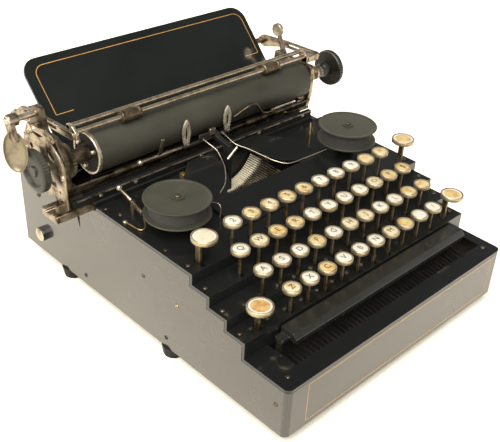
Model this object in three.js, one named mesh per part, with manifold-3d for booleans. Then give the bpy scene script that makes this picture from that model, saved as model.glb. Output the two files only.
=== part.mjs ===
// Flatbed typewriter: an enamelled open frame under a stepped keyboard deck, forty-two keys on
// long levers, a type basket, two ribbon spools and a carriage that slides across the back.
// Millimetres, +X to the typist's right, +Y to the rear, +Z up.

import * as THREE from 'three';
import { mergeVertices } from 'three/addons/utils/BufferGeometryUtils.js';
import Module from 'manifold-3d';

const wasm = await Module();
wasm.setup();

// Driving dimensions of the body
const body_width = 264;
const body_depth = 331;
const half_width = body_width / 2;
const side_wall = 5;
const front_wall = 5;
const corner_radius = 5;
const apron_height = 45.3;
const first_rise = 14.6;
const row_rise = 9.3;
const first_riser_y = 44;
const row_depth = 18.75;
const deck_thickness = 2.5;
const seat_gap = 0.3;
const cut_overrun = 1;
const weld = 0.5;

// Places of the rail's cut-out in the side panels
const rail_front = 218;
const rail_back = 240;
const rail_bottom = 84.7;
const rail_height = 6.3;
const rail_clearance = 0.8;
const notch_width = 9;
const notch_depth = 29;

// Inside the frame
const flange_width = 12;
const flange_height = 3;
const flange_drop = 2;
const rear_bar_depth = 8;
const rear_bar_height = 16;
const bridge_front = 188;
const bridge_back = 200;
const bridge_bottom = 52;
const bridge_height = 4;
const comb_front = 17;
const comb_thickness = 3;
const comb_height = 38;
const comb_floor = 5;
const comb_bar_front = 13;
const comb_bar_back = 24;
const foot_radius = 10;
const foot_tip_radius = 8.5;
const foot_height = 10;
const foot_inset = 8;
const front_foot_y = 131;
const rear_foot_inset = 61;
const rear_foot_y = body_depth - rear_foot_inset;
const side_knob_radius = 6.5;
const side_knob_length = 5;
const side_knob_inset = 31;
const side_knob_y = body_depth - side_knob_inset;
const side_knob_z = 21;

// Keyboard
const key_pitch_share = 0.07216;
const key_pitch = key_pitch_share * body_width;
const stagger_share = 0.25;
const first_key_share = -5.057;
const key_radius = 7.3;
const key_thickness = 4;
const key_ring = 1.1;
const key_crown = 0.7;
const stem_thickness = 1.8;
const stem_depth = 2.6;
const key_travel = 10;
const big_key_radius = 10;
const big_stem_thickness = 2.2;
const big_stem_depth = 5;
const big_cap_forward = 2.5;
const slot_clearance = 0.7;
const key_rows = [
  { name: 'bottom', count: 10, quarters: 3, setback: 4.9, lift: 22.5 },
  { name: 'home', count: 11, quarters: 1, setback: 6.5, lift: 22.7 },
  { name: 'upper', count: 11, quarters: 0, setback: 7.1, lift: 22.8 },
  { name: 'number', count: 10, quarters: 2, setback: 7.5, lift: 24 },
];

// Key levers and the fulcrum rod that all of them ride on
const fulcrum_y = 226;
const fulcrum_z = 48;
const fulcrum_radius = 2;
const fulcrum_gap = 0.3;
const lever_boss = 5.5;
const lever_half_height = 3;
const tip_half_height = 2;
const tip_y = 14;
const tip_z = 27;
const comb_slot_clearance = 0.5;

// Shift, margin and back space keys beside the keyboard
const left_shift_inset = 18.4;
const left_shift_x = left_shift_inset - half_width;
const left_shift_lift = 21.8;
const right_shift_inset = 15.2;
const right_shift_x = half_width - right_shift_inset;
const right_shift_lift = 24.4;
const outer_key_inset = 16.8;
const margin_key_x = outer_key_inset - half_width;
const margin_key_lift = 23.2;
const backspace_key_x = half_width - outer_key_inset;
const backspace_key_lift = 26.7;
const shift_key_setback = 7.5;
const shift_lever_inset = 19.4;
const shift_lever_x = half_width - shift_lever_inset;
const shift_rod_y = 205;
const shift_rod_z = 30;
const shift_rod_radius = 2.5;
const outer_lever_inset = 13.6;
const outer_lever_x = half_width - outer_lever_inset;
const outer_key_setback = 9;

// Space bar
const bar_left_share = 5.092;
const bar_right_share = 5.932;
const bar_left = -bar_left_share * key_pitch;
const bar_right = bar_right_share * key_pitch;
const bar_front = 27;
const bar_back = 43;
const bar_top = 58;
const bar_thickness = 8;
const bar_bevel = 4;
const bar_arm_share = 5.407;
const bar_arm_x = bar_arm_share * key_pitch;
const bar_arm_y = 38;
const bar_tab_thickness = 3;
const bar_tab_depth = 8;
const trough_left_share = 5.669;
const trough_right_inset = 10;
const trough_left = -trough_left_share * key_pitch;
const trough_right = half_width - trough_right_inset;
const trough_front = 16;

// Openings and sheet metal around the type basket
const deck_back = 216.5;
const opening_front = 146;
const opening_front_half = 54;
const opening_back_half = 38;
const panel_foot_y = 122;
const panel_top_y = 158;
const panel_top_z = 92.8;
const panel_half = 66;
const sheet = 1.5;
const wing_back_y = 214;
const wing_back_z = 98;
const wing_back_half = 40;
const wing_waist_y = 190;
const wing_edge = [[42, 158], [42, 163], [31, 170], [25, 180], [19.8, 190], [16.4, 200], [13, 214]];

// Type basket: an arc of comb teeth with the typebars lying forward of it
const basket_radius = 40.8;
const basket_centre_z = 99;
const basket_half_angle = 62 * Math.PI / 180;
const segment_front = 202;
const segment_back = 214;
const segment_depth = 4.6;
const typebar_count = 42;
const typebar_thickness = 1.1;
const typebar_height = 3;
const typebar_front = 140;
const typebar_span_share = 0.96;
const slug_length = 5;
const slug_height = 6;
const slug_thickness = 1.5;
const guide_post_half = 4;
const guide_post_front = 204;
const guide_post_back = 212;
const guide_neck_z = 101;
const guide_tip_y = 226.5;
const guide_tip_z = 110;
const guide_yoke_left = -36;
const guide_yoke_right = 20;
const guide_yoke_height = 3;
const left_loop_x = -31.7;
const right_loop_x = 14.8;
const loop_width = 7;
const loop_top = 130;
const loop_wall = 1.4;
const loop_thickness = 1.6;

// Ribbon spools and their spindles
const spool_inset = 33.5;
const spool_x = half_width - spool_inset;
const spool_y = 156.7;
const spool_top = 113.3;
const spool_radius = 26.5;
const spool_height = 14.5;
const spool_flange = 1.4;
const ribbon_radius = 23;
const spool_hub_radius = 8;
const spool_rim = 2;
const spool_recess = 0.6;
const spindle_radius = 2.5;
const spindle_gap = 0.3;

// Carriage
const rail_left = -166;
const rail_right = 120;
const platen_y = 245;
const platen_z = 119.6;
const platen_radius = 17.4;
const platen_left = -118.5;
const platen_right = 125;
const platen_ring_radius = 18;
const platen_ring_length = 3;
const axle_radius = 4;
const axle_gap = 0.3;
const left_knob_face = -167.5;
const right_knob_face = 173;
const knob_length = 7;
const right_knob_length = 6;
const right_knob_radius = 17.6;
const collar_left = 147;
const knob_radius = 17.2;
const knob_dish_radius = 12;
const knob_dish_depth = 2;
const knob_collar_radius = 6.8;
const knob_collar_length = 17;
const left_plate_x = -150;
const right_plate_x = 131.5;
const plate_thickness = 5;
const plate_rim = 5;
const plate_waist = 3;
const front_bar_back = 224;
const front_bar_front = 220;
const front_bar_top = 97;
const foot_plate_left = 106;
const foot_plate_front = 236;
const foot_plate_back = 247;
const foot_plate_bottom = 88.7;
const foot_plate_height = 4;
const back_bar_front = 272;
const back_bar_back = 279;
const back_bar_bottom = 92;
const back_bar_top = 100;
const left_plate_top = 147;
const right_plate_top = 134.5;
const lug_half = 5;
const lug_top = 165;
const brace_radius = 3;
const brace_y = 316;
const brace_z = 132;

// Return lever at the left end of the carriage
const return_pivot_y = 257;
const return_pivot_z = 160;
const return_pin_radius = 2.5;
const return_hub_radius = 5;
const return_hub_length = 8;
const spoon_x = -175.5;
const spoon_y = 251;
const spoon_z = 137;
const spoon_turn = 42 * Math.PI / 180;
const spoon_half_height = 17.5;
const spoon_half_width = 9.3;
const spoon_thickness = 1.6;
const spoon_dish = 4;
const neck_half_width = 4.5;
const hub_left = -176;

// Paper table
const table_left = -119.5;
const table_right = 129;
const table_foot_y = 283;
const table_foot_z = 110.7;
const table_curl_y = 272.5;
const table_curl_z = 104.8;
const table_slope = 46.5 * Math.PI / 180;
const table_length = 76.3;
const table_thickness = 1.6;
const table_corner = 15;
const table_stay_left = -85;
const table_stay_right = 99;
const table_stay_width = 8;
const table_stay_depth = 5;

// Paper bail
const bail_rod_y = 242;
const bail_rod_z = 142.4;
const bail_rod_radius = 2;
const bail_back_rod_y = 248.5;
const bail_back_rod_z = 145.2;
const bail_left = -131;
const bail_right = 145;
const bail_arm_thickness = 4;
const bail_arm_half = 3.1;
const bail_arm_front = 239;
const bail_arm_front_z = 140;
const bail_arm_middle = 283;
const bail_arm_middle_z = 138;
const bail_boss = 6;
const bail_block_left = 128;
const bail_block_front = 238;
const bail_block_back = 251;
const bail_block_bottom = 136.5;
const bail_block_top = 142.8;
const bail_head_thickness = 3;
const bail_roller_radius = 5.1;
const bail_roller_length = 19;
const bail_roller_left = -77;
const bail_roller_right = 82;

// Release lever at the right end of the carriage
const release_x = 136.3;
const release_pivot_y = 277;
const release_pivot_z = 131;
const release_pin_radius = 2;
const release_height = 22.4;
const release_lean = 9.7;
const release_width = 6;
const release_thickness = 3;
const release_disc_radius = 6.4;
const release_disc_thickness = 4;

// Carriage way and mainspring drum
const way_front = 216.5;
const way_back = 242;
const way_bottom = 73;
const way_lip = 2;
const back_way_share = 0.89426;
const back_way_depth = 10;
const back_way_front = back_way_share * body_depth;
const back_way_back = back_way_front + back_way_depth;
const way_tie_width = 12;
const drum_side_inset = 48;
const drum_x = drum_side_inset - half_width;
const drum_z = 44;
const drum_radius = 24;
const drum_inset = 29;
const drum_front = body_depth - drum_inset;
const drum_length = 15;
const drum_pin_radius = 3;
const drum_gap = 0.3;

// Facets
const knob_sides = 26;
const spool_sides = 26;
const key_sides = 12;
const big_key_sides = 16;
const spoon_sides = 16;
const rod_sides = 10;
const pin_sides = 12;
const curve_steps = 6;

const inner_half = half_width - side_wall;
const lever_slope = (fulcrum_z - tip_z) / (fulcrum_y - tip_y);
const deck_top = apron_height + first_rise + row_rise * (key_rows.length - 1);

// Solids from three.js geometries

function solid(geometry) {
  const bare = geometry.clone();
  bare.deleteAttribute('normal');
  bare.deleteAttribute('uv');
  const merged = mergeVertices(bare);
  const mesh = new wasm.Mesh({
    numProp: 3,
    vertProperties: new Float32Array(merged.attributes.position.array),
    triVerts: new Uint32Array(merged.index.array),
  });
  return new wasm.Manifold(mesh);
}

function join(...pieces) {
  return pieces.reduce((whole, next) => whole.add(next));
}

function cut(base, ...tools) {
  return tools.reduce((rest, tool) => rest.subtract(tool), base);
}

function box(x0, x1, y0, y1, z0, z1) {
  const geometry = new THREE.BoxGeometry(x1 - x0, y1 - y0, z1 - z0);
  geometry.translate((x0 + x1) / 2, (y0 + y1) / 2, (z0 + z1) / 2);
  return solid(geometry);
}

// A round rod from one point to another, which may taper.
function rod(from, to, radius, sides, end_radius = radius) {
  const start = new THREE.Vector3(...from);
  const end = new THREE.Vector3(...to);
  const along = end.clone().sub(start);
  const geometry = new THREE.CylinderGeometry(end_radius, radius, along.length(), sides);
  const up = new THREE.Vector3(0, 1, 0);
  geometry.applyQuaternion(new THREE.Quaternion().setFromUnitVectors(up, along.clone().normalize()));
  const middle = start.add(end).multiplyScalar(0.5);
  geometry.translate(middle.x, middle.y, middle.z);
  return solid(geometry);
}

function outline(points) {
  return new THREE.Shape(points.map(([a, b]) => new THREE.Vector2(a, b)));
}

// An outline in Y and Z, drawn out along X.
function acrossX(shape, x0, x1) {
  const geometry = new THREE.ExtrudeGeometry(shape, {
    depth: x1 - x0,
    bevelEnabled: false,
    curveSegments: curve_steps,
  });
  const axes = new THREE.Matrix4().makeBasis(
    new THREE.Vector3(0, 1, 0),
    new THREE.Vector3(0, 0, 1),
    new THREE.Vector3(1, 0, 0),
  );
  geometry.applyMatrix4(axes);
  geometry.translate(x0, 0, 0);
  return solid(geometry);
}

// An outline in X and Z, drawn out along Y.
function acrossY(shape, y0, y1) {
  const geometry = new THREE.ExtrudeGeometry(shape, {
    depth: y1 - y0,
    bevelEnabled: false,
    curveSegments: curve_steps,
  });
  geometry.rotateX(Math.PI / 2);
  geometry.translate(0, y1, 0);
  return solid(geometry);
}

// An outline in X and Y, drawn out along Z.
function acrossZ(shape, z0, z1) {
  const geometry = new THREE.ExtrudeGeometry(shape, {
    depth: z1 - z0,
    bevelEnabled: false,
    curveSegments: curve_steps,
  });
  geometry.translate(0, 0, z0);
  return solid(geometry);
}

// A profile of radius and height turned about a vertical axis through x, y.
function turnedZ(profile, x, y, sides) {
  const geometry = new THREE.LatheGeometry(profile.map(([r, h]) => new THREE.Vector2(r, h)), sides);
  geometry.rotateX(Math.PI / 2);
  geometry.translate(x, y, 0);
  return solid(geometry);
}

// A profile of radius and X place turned about an axis along X through y, z.
function turnedX(profile, y, z, sides) {
  const geometry = new THREE.LatheGeometry(profile.map(([r, h]) => new THREE.Vector2(r, h)), sides);
  geometry.rotateZ(-Math.PI / 2);
  geometry.translate(0, y, z);
  return solid(geometry);
}

// The stepped line of the keyboard, seen from the side, sunk by a depth measured into the metal.
function stairs(depth, back) {
  const points = [[0, apron_height - depth]];
  for (let row = 0; row < key_rows.length; row += 1) {
    const below = points[points.length - 1][1];
    const riser = riserY(row) + depth;
    points.push([riser, below]);
    points.push([riser, treadZ(row) - depth]);
  }
  points.push([back, deck_top - depth]);
  return points;
}

function riserY(row) {
  return first_riser_y + row * row_depth;
}

function treadZ(row) {
  return apron_height + first_rise + row * row_rise;
}

function leverZ(y) {
  return tip_z + (y - tip_y) * lever_slope;
}

function keyY(row) {
  return riserY(row) + key_rows[row].setback;
}

function keyX(row, number) {
  const shares = first_key_share + number + key_rows[row].quarters * stagger_share;
  return key_pitch * shares;
}

// The body's plan with rounded front corners.
function bodyPlan(z0, z1) {
  const shape = new THREE.Shape();
  shape.moveTo(-half_width, body_depth);
  shape.lineTo(-half_width, corner_radius);
  shape.absarc(-half_width + corner_radius, corner_radius, corner_radius, Math.PI, 1.5 * Math.PI);
  shape.lineTo(half_width - corner_radius, 0);
  shape.absarc(half_width - corner_radius, corner_radius, corner_radius, 1.5 * Math.PI, 2 * Math.PI);
  shape.lineTo(half_width, body_depth);
  return acrossZ(shape, z0, z1);
}

// One side panel, with the cut-out that the carriage rail passes through.
function sidePanel(x0, x1) {
  const sunk = deck_thickness + seat_gap;
  const stairs_points = stairs(sunk, rail_front - rail_clearance);
  const back_y = rail_back + rail_clearance;
  const floor_z = rail_bottom - rail_clearance;
  const points = [
    [0, 0],
    ...stairs_points,
    [rail_front - rail_clearance, floor_z],
    [back_y, floor_z],
    [back_y + weld, floor_z - notch_depth],
    [back_y + notch_width, floor_z],
    [back_y + notch_width, deck_top],
    [body_depth, deck_top],
    [body_depth, 0],
  ];
  return acrossX(outline(points), x0, x1);
}

function frame() {
  const sunk = deck_thickness + seat_gap;
  const reach = inner_half + weld;
  const shell = join(
    sidePanel(-half_width, -inner_half),
    sidePanel(inner_half, half_width),
    box(-reach, reach, 0, front_wall, 0, apron_height - sunk),
    box(-reach, reach, bridge_front, bridge_back, bridge_bottom, bridge_bottom + bridge_height),
    rod([-reach, fulcrum_y, fulcrum_z], [reach, fulcrum_y, fulcrum_z], fulcrum_radius, pin_sides),
  );
  const knob = rod(
    [weld - half_width, side_knob_y, side_knob_z],
    [-half_width - side_knob_length, side_knob_y, side_knob_z],
    side_knob_radius,
    pin_sides,
  );
  return join(shell.intersect(bodyPlan(0, deck_top)), knob);
}

// Bottom ring between the side panels, with the feet, the lever comb and the drum bracket on it.
function footFrame() {
  const reach = inner_half - seat_gap;
  const front = front_wall + seat_gap;
  const feet = [];
  for (const side of [-1, 1]) {
    for (const y of [front_foot_y, rear_foot_y]) {
      const x = side * (half_width - foot_inset);
      feet.push(rod([x, y, -seat_gap], [x, y, -foot_height], foot_radius, pin_sides, foot_tip_radius));
    }
  }
  return join(
    box(-reach, flange_width - inner_half, front, body_depth, -flange_drop, flange_height),
    box(inner_half - flange_width, reach, front, body_depth, -flange_drop, flange_height),
    box(-reach, reach, body_depth - rear_bar_depth, body_depth, -flange_drop, rear_bar_height),
    box(-reach, reach, comb_bar_front, comb_bar_back, -flange_drop, comb_floor),
    leverComb(),
    drumBracket(),
    ...feet,
  );
}

// Upright comb that guides the front ends of the key levers.
function leverComb() {
  const xs = key_rows.flatMap((row, index) => [keyX(index, 0), keyX(index, row.count - 1)]);
  const margin = key_pitch * stagger_share / 2;
  const left = Math.min(...xs) - margin;
  const right = Math.max(...xs) + margin;
  const comb_back = comb_front + comb_thickness;
  const comb = box(left, right, comb_front, comb_back, comb_floor - weld, comb_height);
  const half_slot = stem_thickness / 2 + comb_slot_clearance;
  const slots = [];
  for (let row = 0; row < key_rows.length; row += 1) {
    for (let number = 0; number < key_rows[row].count; number += 1) {
      const x = keyX(row, number);
      slots.push(box(
        x - half_slot,
        x + half_slot,
        comb_front - cut_overrun,
        comb_back + cut_overrun,
        comb_floor,
        comb_height + cut_overrun,
      ));
    }
  }
  return cut(comb, join(...slots));
}

// Upright plate and pin that carry the mainspring drum.
function drumBracket() {
  const plate = box(
    drum_x - drum_radius / 2,
    drum_x + drum_radius / 2,
    body_depth - rear_bar_depth,
    body_depth - rear_bar_depth / 2,
    rear_bar_height - weld,
    drum_z + drum_radius / 2,
  );
  const from = [drum_x, body_depth - rear_bar_depth + weld, drum_z];
  const to = [drum_x, drum_front, drum_z];
  return join(plate, rod(from, to, drum_pin_radius, pin_sides));
}

// How far a stem leans forward at a height when its key is down.
function leanAt(key_y, z) {
  const angle = key_travel / (fulcrum_y - key_y);
  return (z - fulcrum_z) * Math.sin(angle);
}

function deckSlot(x, key_y, row, thickness, depth) {
  const z = treadZ(row);
  return box(
    x - thickness / 2 - slot_clearance,
    x + thickness / 2 + slot_clearance,
    key_y - depth / 2 - slot_clearance - leanAt(key_y, z),
    key_y + depth / 2 + slot_clearance,
    z - deck_thickness - cut_overrun,
    z + cut_overrun,
  );
}

// Stepped deck with the spool spindles and the shield that stands round the type basket.
function keyboardDeck() {
  const top = stairs(0, deck_back);
  const under = stairs(deck_thickness, deck_back).reverse();
  const plate = acrossX(outline([...top, ...under]), -half_width, half_width);
  const slots = [];
  for (let row = 0; row < key_rows.length; row += 1) {
    for (let number = 0; number < key_rows[row].count; number += 1) {
      slots.push(deckSlot(keyX(row, number), keyY(row), row, stem_thickness, stem_depth));
    }
  }
  const last = key_rows.length - 1;
  for (const side of [-1, 1]) {
    const shift_y = riserY(0) + shift_key_setback;
    slots.push(deckSlot(side * shift_lever_x, shift_y, 0, big_stem_thickness, big_stem_depth));
    const outer_y = riserY(last) + outer_key_setback;
    slots.push(deckSlot(side * outer_lever_x, outer_y, last, big_stem_thickness, big_stem_depth));
  }
  const trough = box(
    trough_left,
    trough_right,
    trough_front,
    first_riser_y,
    apron_height - deck_thickness - cut_overrun,
    apron_height + cut_overrun,
  );
  const mouth = outline([
    [-opening_front_half, opening_front],
    [opening_front_half, opening_front],
    [opening_back_half, deck_back + cut_overrun],
    [-opening_back_half, deck_back + cut_overrun],
  ]);
  const basket_mouth = acrossZ(mouth, deck_top - deck_thickness - cut_overrun, deck_top + cut_overrun);
  const open_deck = cut(plate, join(...slots), trough, basket_mouth);
  const spindles = [-1, 1].map((side) => rod(
    [side * spool_x, spool_y, deck_top - deck_thickness / 2],
    [side * spool_x, spool_y, spool_top],
    spindle_radius,
    pin_sides,
  ));
  return join(open_deck.intersect(bodyPlan(0, deck_top + cut_overrun)), ...spindles, typeShield());
}

// Sloping front panel and the two wings that flank the open throat of the basket.
function typeShield() {
  const foot_z = deck_top - weld;
  const panel = acrossX(outline([
    [panel_foot_y, foot_z],
    [panel_foot_y + sheet, foot_z],
    [panel_top_y, panel_top_z - sheet],
    [panel_top_y + sheet, panel_top_z - sheet],
    [panel_top_y + sheet, panel_top_z],
    [panel_top_y, panel_top_z],
    [panel_foot_y, foot_z + sheet],
  ]), -panel_half, panel_half);
  const cheek_shape = outline([
    [panel_foot_y, foot_z],
    [wing_back_y, foot_z],
    [wing_back_y, foot_z + sheet],
    [panel_top_y, panel_top_z],
    [panel_foot_y, foot_z + sheet],
  ]);
  const cheeks = [
    acrossX(cheek_shape, -panel_half, sheet - panel_half),
    acrossX(cheek_shape, panel_half - sheet, panel_half),
  ];
  return join(panel, ...cheeks, wing(-1), wing(1));
}

function wing(side) {
  const plan = outline([
    [side * panel_half, panel_top_y],
    ...wing_edge.map(([x, y]) => [side * x, y]),
    [side * wing_back_half, wing_back_y],
    [side * panel_half, wing_waist_y],
  ]);
  const prism = acrossZ(plan, 0, wing_back_z + cut_overrun);
  const slab = acrossX(outline([
    [panel_top_y - weld, panel_top_z - sheet],
    [wing_back_y, wing_back_z - sheet],
    [wing_back_y, wing_back_z],
    [panel_top_y - weld, panel_top_z],
  ]), -panel_half, panel_half);
  return slab.intersect(prism);
}

// Comb segment with the typebars, slugs forward, and the ribbon guide that stands behind it.
function typeBasket() {
  const outer = basket_radius + segment_depth / 2;
  const inner = basket_radius - segment_depth / 2;
  const start = 1.5 * Math.PI - basket_half_angle;
  const end = 1.5 * Math.PI + basket_half_angle;
  const arc = new THREE.Shape();
  arc.absarc(0, basket_centre_z, outer, start, end, false);
  arc.absarc(0, basket_centre_z, inner, end, start, true);
  const rim = new THREE.ExtrudeGeometry(arc, {
    depth: segment_back - segment_front,
    bevelEnabled: false,
    curveSegments: typebar_count / 2,
  });
  rim.rotateX(Math.PI / 2);
  rim.translate(0, segment_back, 0);
  const bars = [];
  for (let bar = 0; bar < typebar_count; bar += 1) {
    bars.push(typebar(bar));
  }
  const foot_bottom = bridge_bottom + bridge_height + seat_gap;
  const sole = box(
    -inner / 2,
    inner / 2,
    bridge_front + sheet,
    guide_post_back,
    foot_bottom,
    foot_bottom + sheet * 2,
  );
  return join(solid(rim), sole, ...bars, ribbonGuide(foot_bottom));
}

function typebar(bar) {
  const share = bar / (typebar_count - 1) * 2 - 1;
  const angle = share * basket_half_angle * typebar_span_share;
  const typebar_back = segment_front + sheet;
  const typebar_length = typebar_back - typebar_front;
  const geometry = new THREE.BoxGeometry(typebar_thickness, typebar_length, typebar_height);
  geometry.translate(0, (typebar_back + typebar_front) / 2, -basket_radius);
  const slug = new THREE.BoxGeometry(slug_thickness, slug_length, slug_height);
  slug.translate(0, typebar_front + slug_length / 2, -basket_radius);
  for (const part of [geometry, slug]) {
    part.rotateY(-angle);
    part.translate(0, 0, basket_centre_z);
  }
  return join(solid(geometry), solid(slug));
}

// Post, yoke and two arched loops that lead the ribbon past the printing point.
function ribbonGuide(foot_bottom) {
  const post = acrossX(outline([
    [guide_post_front, foot_bottom],
    [guide_post_back, foot_bottom],
    [guide_post_back, guide_neck_z],
    [guide_tip_y, guide_neck_z + guide_yoke_height],
    [guide_tip_y, guide_tip_z],
    [guide_tip_y - guide_yoke_height, guide_tip_z],
    [guide_tip_y - guide_yoke_height * 2, guide_neck_z + guide_yoke_height * 2],
    [guide_post_front, guide_neck_z + guide_yoke_height],
  ]), -guide_post_half, guide_post_half);
  const yoke = box(
    guide_yoke_left,
    guide_yoke_right,
    guide_tip_y - guide_yoke_height,
    guide_tip_y,
    guide_neck_z + guide_yoke_height,
    guide_neck_z + guide_yoke_height * 2,
  );
  return join(post, yoke, guideLoop(left_loop_x), guideLoop(right_loop_x));
}

function guideLoop(x) {
  const base = guide_neck_z + guide_yoke_height * 2 - weld;
  const half = loop_width / 2;
  const spring_line = loop_top - half;
  const arch = new THREE.Shape();
  arch.moveTo(x - half, base);
  arch.lineTo(x - half + loop_wall, base);
  arch.lineTo(x - half + loop_wall, spring_line);
  arch.absarc(x, spring_line, half - loop_wall, Math.PI, 0, true);
  arch.lineTo(x + half - loop_wall, base);
  arch.lineTo(x + half, base);
  arch.lineTo(x + half, spring_line);
  arch.absarc(x, spring_line, half, 0, Math.PI, false);
  return acrossY(arch, guide_tip_y - loop_thickness, guide_tip_y);
}

// A lever in its own plane: tip in the comb, saddle over the fulcrum rod, stem up to a key.
function leverOutline(stem_y, depth, stem_top) {
  const saddle = fulcrum_radius + fulcrum_gap;
  return outline([
    [tip_y, tip_z - tip_half_height],
    [fulcrum_y - lever_boss, fulcrum_z - lever_boss],
    [fulcrum_y - saddle, fulcrum_z - lever_boss],
    [fulcrum_y - saddle, fulcrum_z + saddle],
    [fulcrum_y + saddle, fulcrum_z + saddle],
    [fulcrum_y + saddle, fulcrum_z - lever_boss],
    [fulcrum_y + lever_boss, fulcrum_z - lever_boss],
    [fulcrum_y + lever_boss, fulcrum_z + lever_boss],
    [fulcrum_y - lever_boss, fulcrum_z + lever_boss],
    [stem_y + depth / 2, leverZ(stem_y) + lever_half_height],
    [stem_y + depth / 2, stem_top],
    [stem_y - depth / 2, stem_top],
    [stem_y - depth / 2, leverZ(stem_y) + lever_half_height],
    [tip_y, tip_z + tip_half_height],
  ]);
}

function lever(x, stem_y, thickness, depth, stem_top) {
  return acrossX(leverOutline(stem_y, depth, stem_top), x - thickness / 2, x + thickness / 2);
}

// A round key top: a ring of metal round a shallow glazed crown.
function keyTop(x, y, top, radius, sides) {
  const bottom = top - key_thickness;
  return turnedZ([
    [0, bottom],
    [radius, bottom],
    [radius, top - key_ring],
    [radius - key_ring, top - key_crown / 2],
    [0, top],
  ], x, y, sides);
}

function characterKey(row, number) {
  const x = keyX(row, number);
  const y = keyY(row);
  const top = treadZ(row) + key_rows[row].lift;
  const stem_top = top - key_thickness + weld;
  return join(
    lever(x, y, stem_thickness, stem_depth, stem_top),
    keyTop(x, y, top, key_radius, key_sides),
  );
}

// A large key whose cap stands a little forward of its stem.
function bigKey(key_x, lever_x, y, top) {
  const stem_top = top - key_thickness + weld;
  return join(
    lever(lever_x, y, big_stem_thickness, big_stem_depth, stem_top),
    keyTop(key_x, y - big_cap_forward, top, big_key_radius, big_key_sides),
  );
}

// Both shift keys with the cross rod that makes them move as one.
function shiftKeys() {
  const y = riserY(0) + shift_key_setback;
  const tread = treadZ(0);
  const rod_left = [-shift_lever_x, shift_rod_y, shift_rod_z];
  const rod_right = [shift_lever_x, shift_rod_y, shift_rod_z];
  const shift_rod = rod(rod_left, rod_right, shift_rod_radius, rod_sides);
  const drop = [-1, 1].map((side) => box(
    side * shift_lever_x - big_stem_thickness / 2,
    side * shift_lever_x + big_stem_thickness / 2,
    shift_rod_y - shift_rod_radius,
    shift_rod_y + shift_rod_radius,
    shift_rod_z - shift_rod_radius,
    leverZ(shift_rod_y),
  ));
  return join(
    bigKey(left_shift_x, -shift_lever_x, y, tread + left_shift_lift),
    bigKey(right_shift_x, shift_lever_x, y, tread + right_shift_lift),
    shift_rod,
    ...drop,
  );
}

function outerKey(key_x, lever_x, lift) {
  const last = key_rows.length - 1;
  return bigKey(key_x, lever_x, riserY(last) + outer_key_setback, treadZ(last) + lift);
}

function spaceBar() {
  const bottom = bar_top - bar_thickness;
  const blade = acrossX(outline([
    [bar_front, bottom],
    [bar_back, bottom],
    [bar_back, bar_top],
    [bar_front + bar_bevel, bar_top],
    [bar_front, bar_top - bar_bevel],
  ]), bar_left, bar_right);
  const edge = bar_arm_x + big_stem_thickness / 2;
  const tab = box(
    -edge,
    edge,
    bar_arm_y - bar_tab_depth / 2,
    bar_arm_y + bar_tab_depth / 2,
    bottom,
    bottom + bar_tab_thickness,
  );
  const arms = [-1, 1].map((side) => lever(
    side * bar_arm_x,
    bar_arm_y,
    big_stem_thickness,
    big_stem_depth,
    bottom + weld,
  ));
  return join(blade, tab, ...arms);
}

function ribbonSpool(side) {
  const bottom = spool_top - spool_height;
  const hub_bottom = deck_top + seat_gap;
  const bore = spindle_radius + spindle_gap;
  return turnedZ([
    [bore, hub_bottom],
    [spool_hub_radius, hub_bottom],
    [spool_hub_radius, bottom],
    [spool_radius, bottom],
    [spool_radius, bottom + spool_flange],
    [ribbon_radius, bottom + spool_flange],
    [ribbon_radius, spool_top - spool_flange],
    [spool_radius, spool_top - spool_flange],
    [spool_radius, spool_top],
    [spool_radius - spool_rim, spool_top],
    [spool_radius - spool_rim - spool_recess, spool_top - spool_recess],
    [bore, spool_top - spool_recess],
    [bore, hub_bottom],
  ], side * spool_x, spool_y, spool_sides);
}

// Fixed beams that the carriage rail and the rear of the carriage run on.
function carriageWay() {
  const reach = inner_half - seat_gap;
  const top = rail_bottom - seat_gap;
  const front_beam = acrossX(outline([
    [way_front, way_bottom],
    [way_back, way_bottom],
    [way_back, top],
    [way_front, top],
  ]), -reach, reach);
  const groove = box(
    -reach - cut_overrun,
    reach + cut_overrun,
    rail_front + way_lip,
    rail_back - way_lip,
    top - way_lip,
    top + cut_overrun,
  );
  const back_beam = box(-reach, reach, back_way_front, back_way_back, way_bottom, top - way_lip);
  const ties = [-1, 1].map((side) => box(
    side * (reach - way_tie_width / 2) - way_tie_width / 2,
    side * (reach - way_tie_width / 2) + way_tie_width / 2,
    way_back - weld,
    back_way_front + weld,
    way_bottom,
    way_bottom + way_lip * 2,
  ));
  return join(cut(front_beam, groove), back_beam, ...ties);
}

// Outline of the left end plate, with a lug on top for the return lever.
function leftPlateOutline() {
  const foot = rail_bottom + rail_height - weld;
  const head = platen_radius + plate_rim;
  return outline([
    [platen_y - head + plate_rim * 2, foot],
    [rail_back, foot],
    [rail_back + plate_waist, platen_z - head + plate_rim],
    [back_bar_front, back_bar_bottom],
    [back_bar_back, back_bar_bottom],
    [back_bar_back + plate_rim, platen_z],
    [back_bar_front, left_plate_top],
    [return_pivot_y + lug_half * 2, left_plate_top],
    [return_pivot_y + lug_half, lug_top],
    [return_pivot_y - lug_half, lug_top],
    [return_pivot_y - lug_half * 2, left_plate_top],
    [platen_y - head / 2, left_plate_top],
    [platen_y - head, platen_z + head / 2],
    [platen_y - head, platen_z - head / 2],
    [platen_y - head + plate_rim, platen_z - head + plate_rim],
  ]);
}

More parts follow.
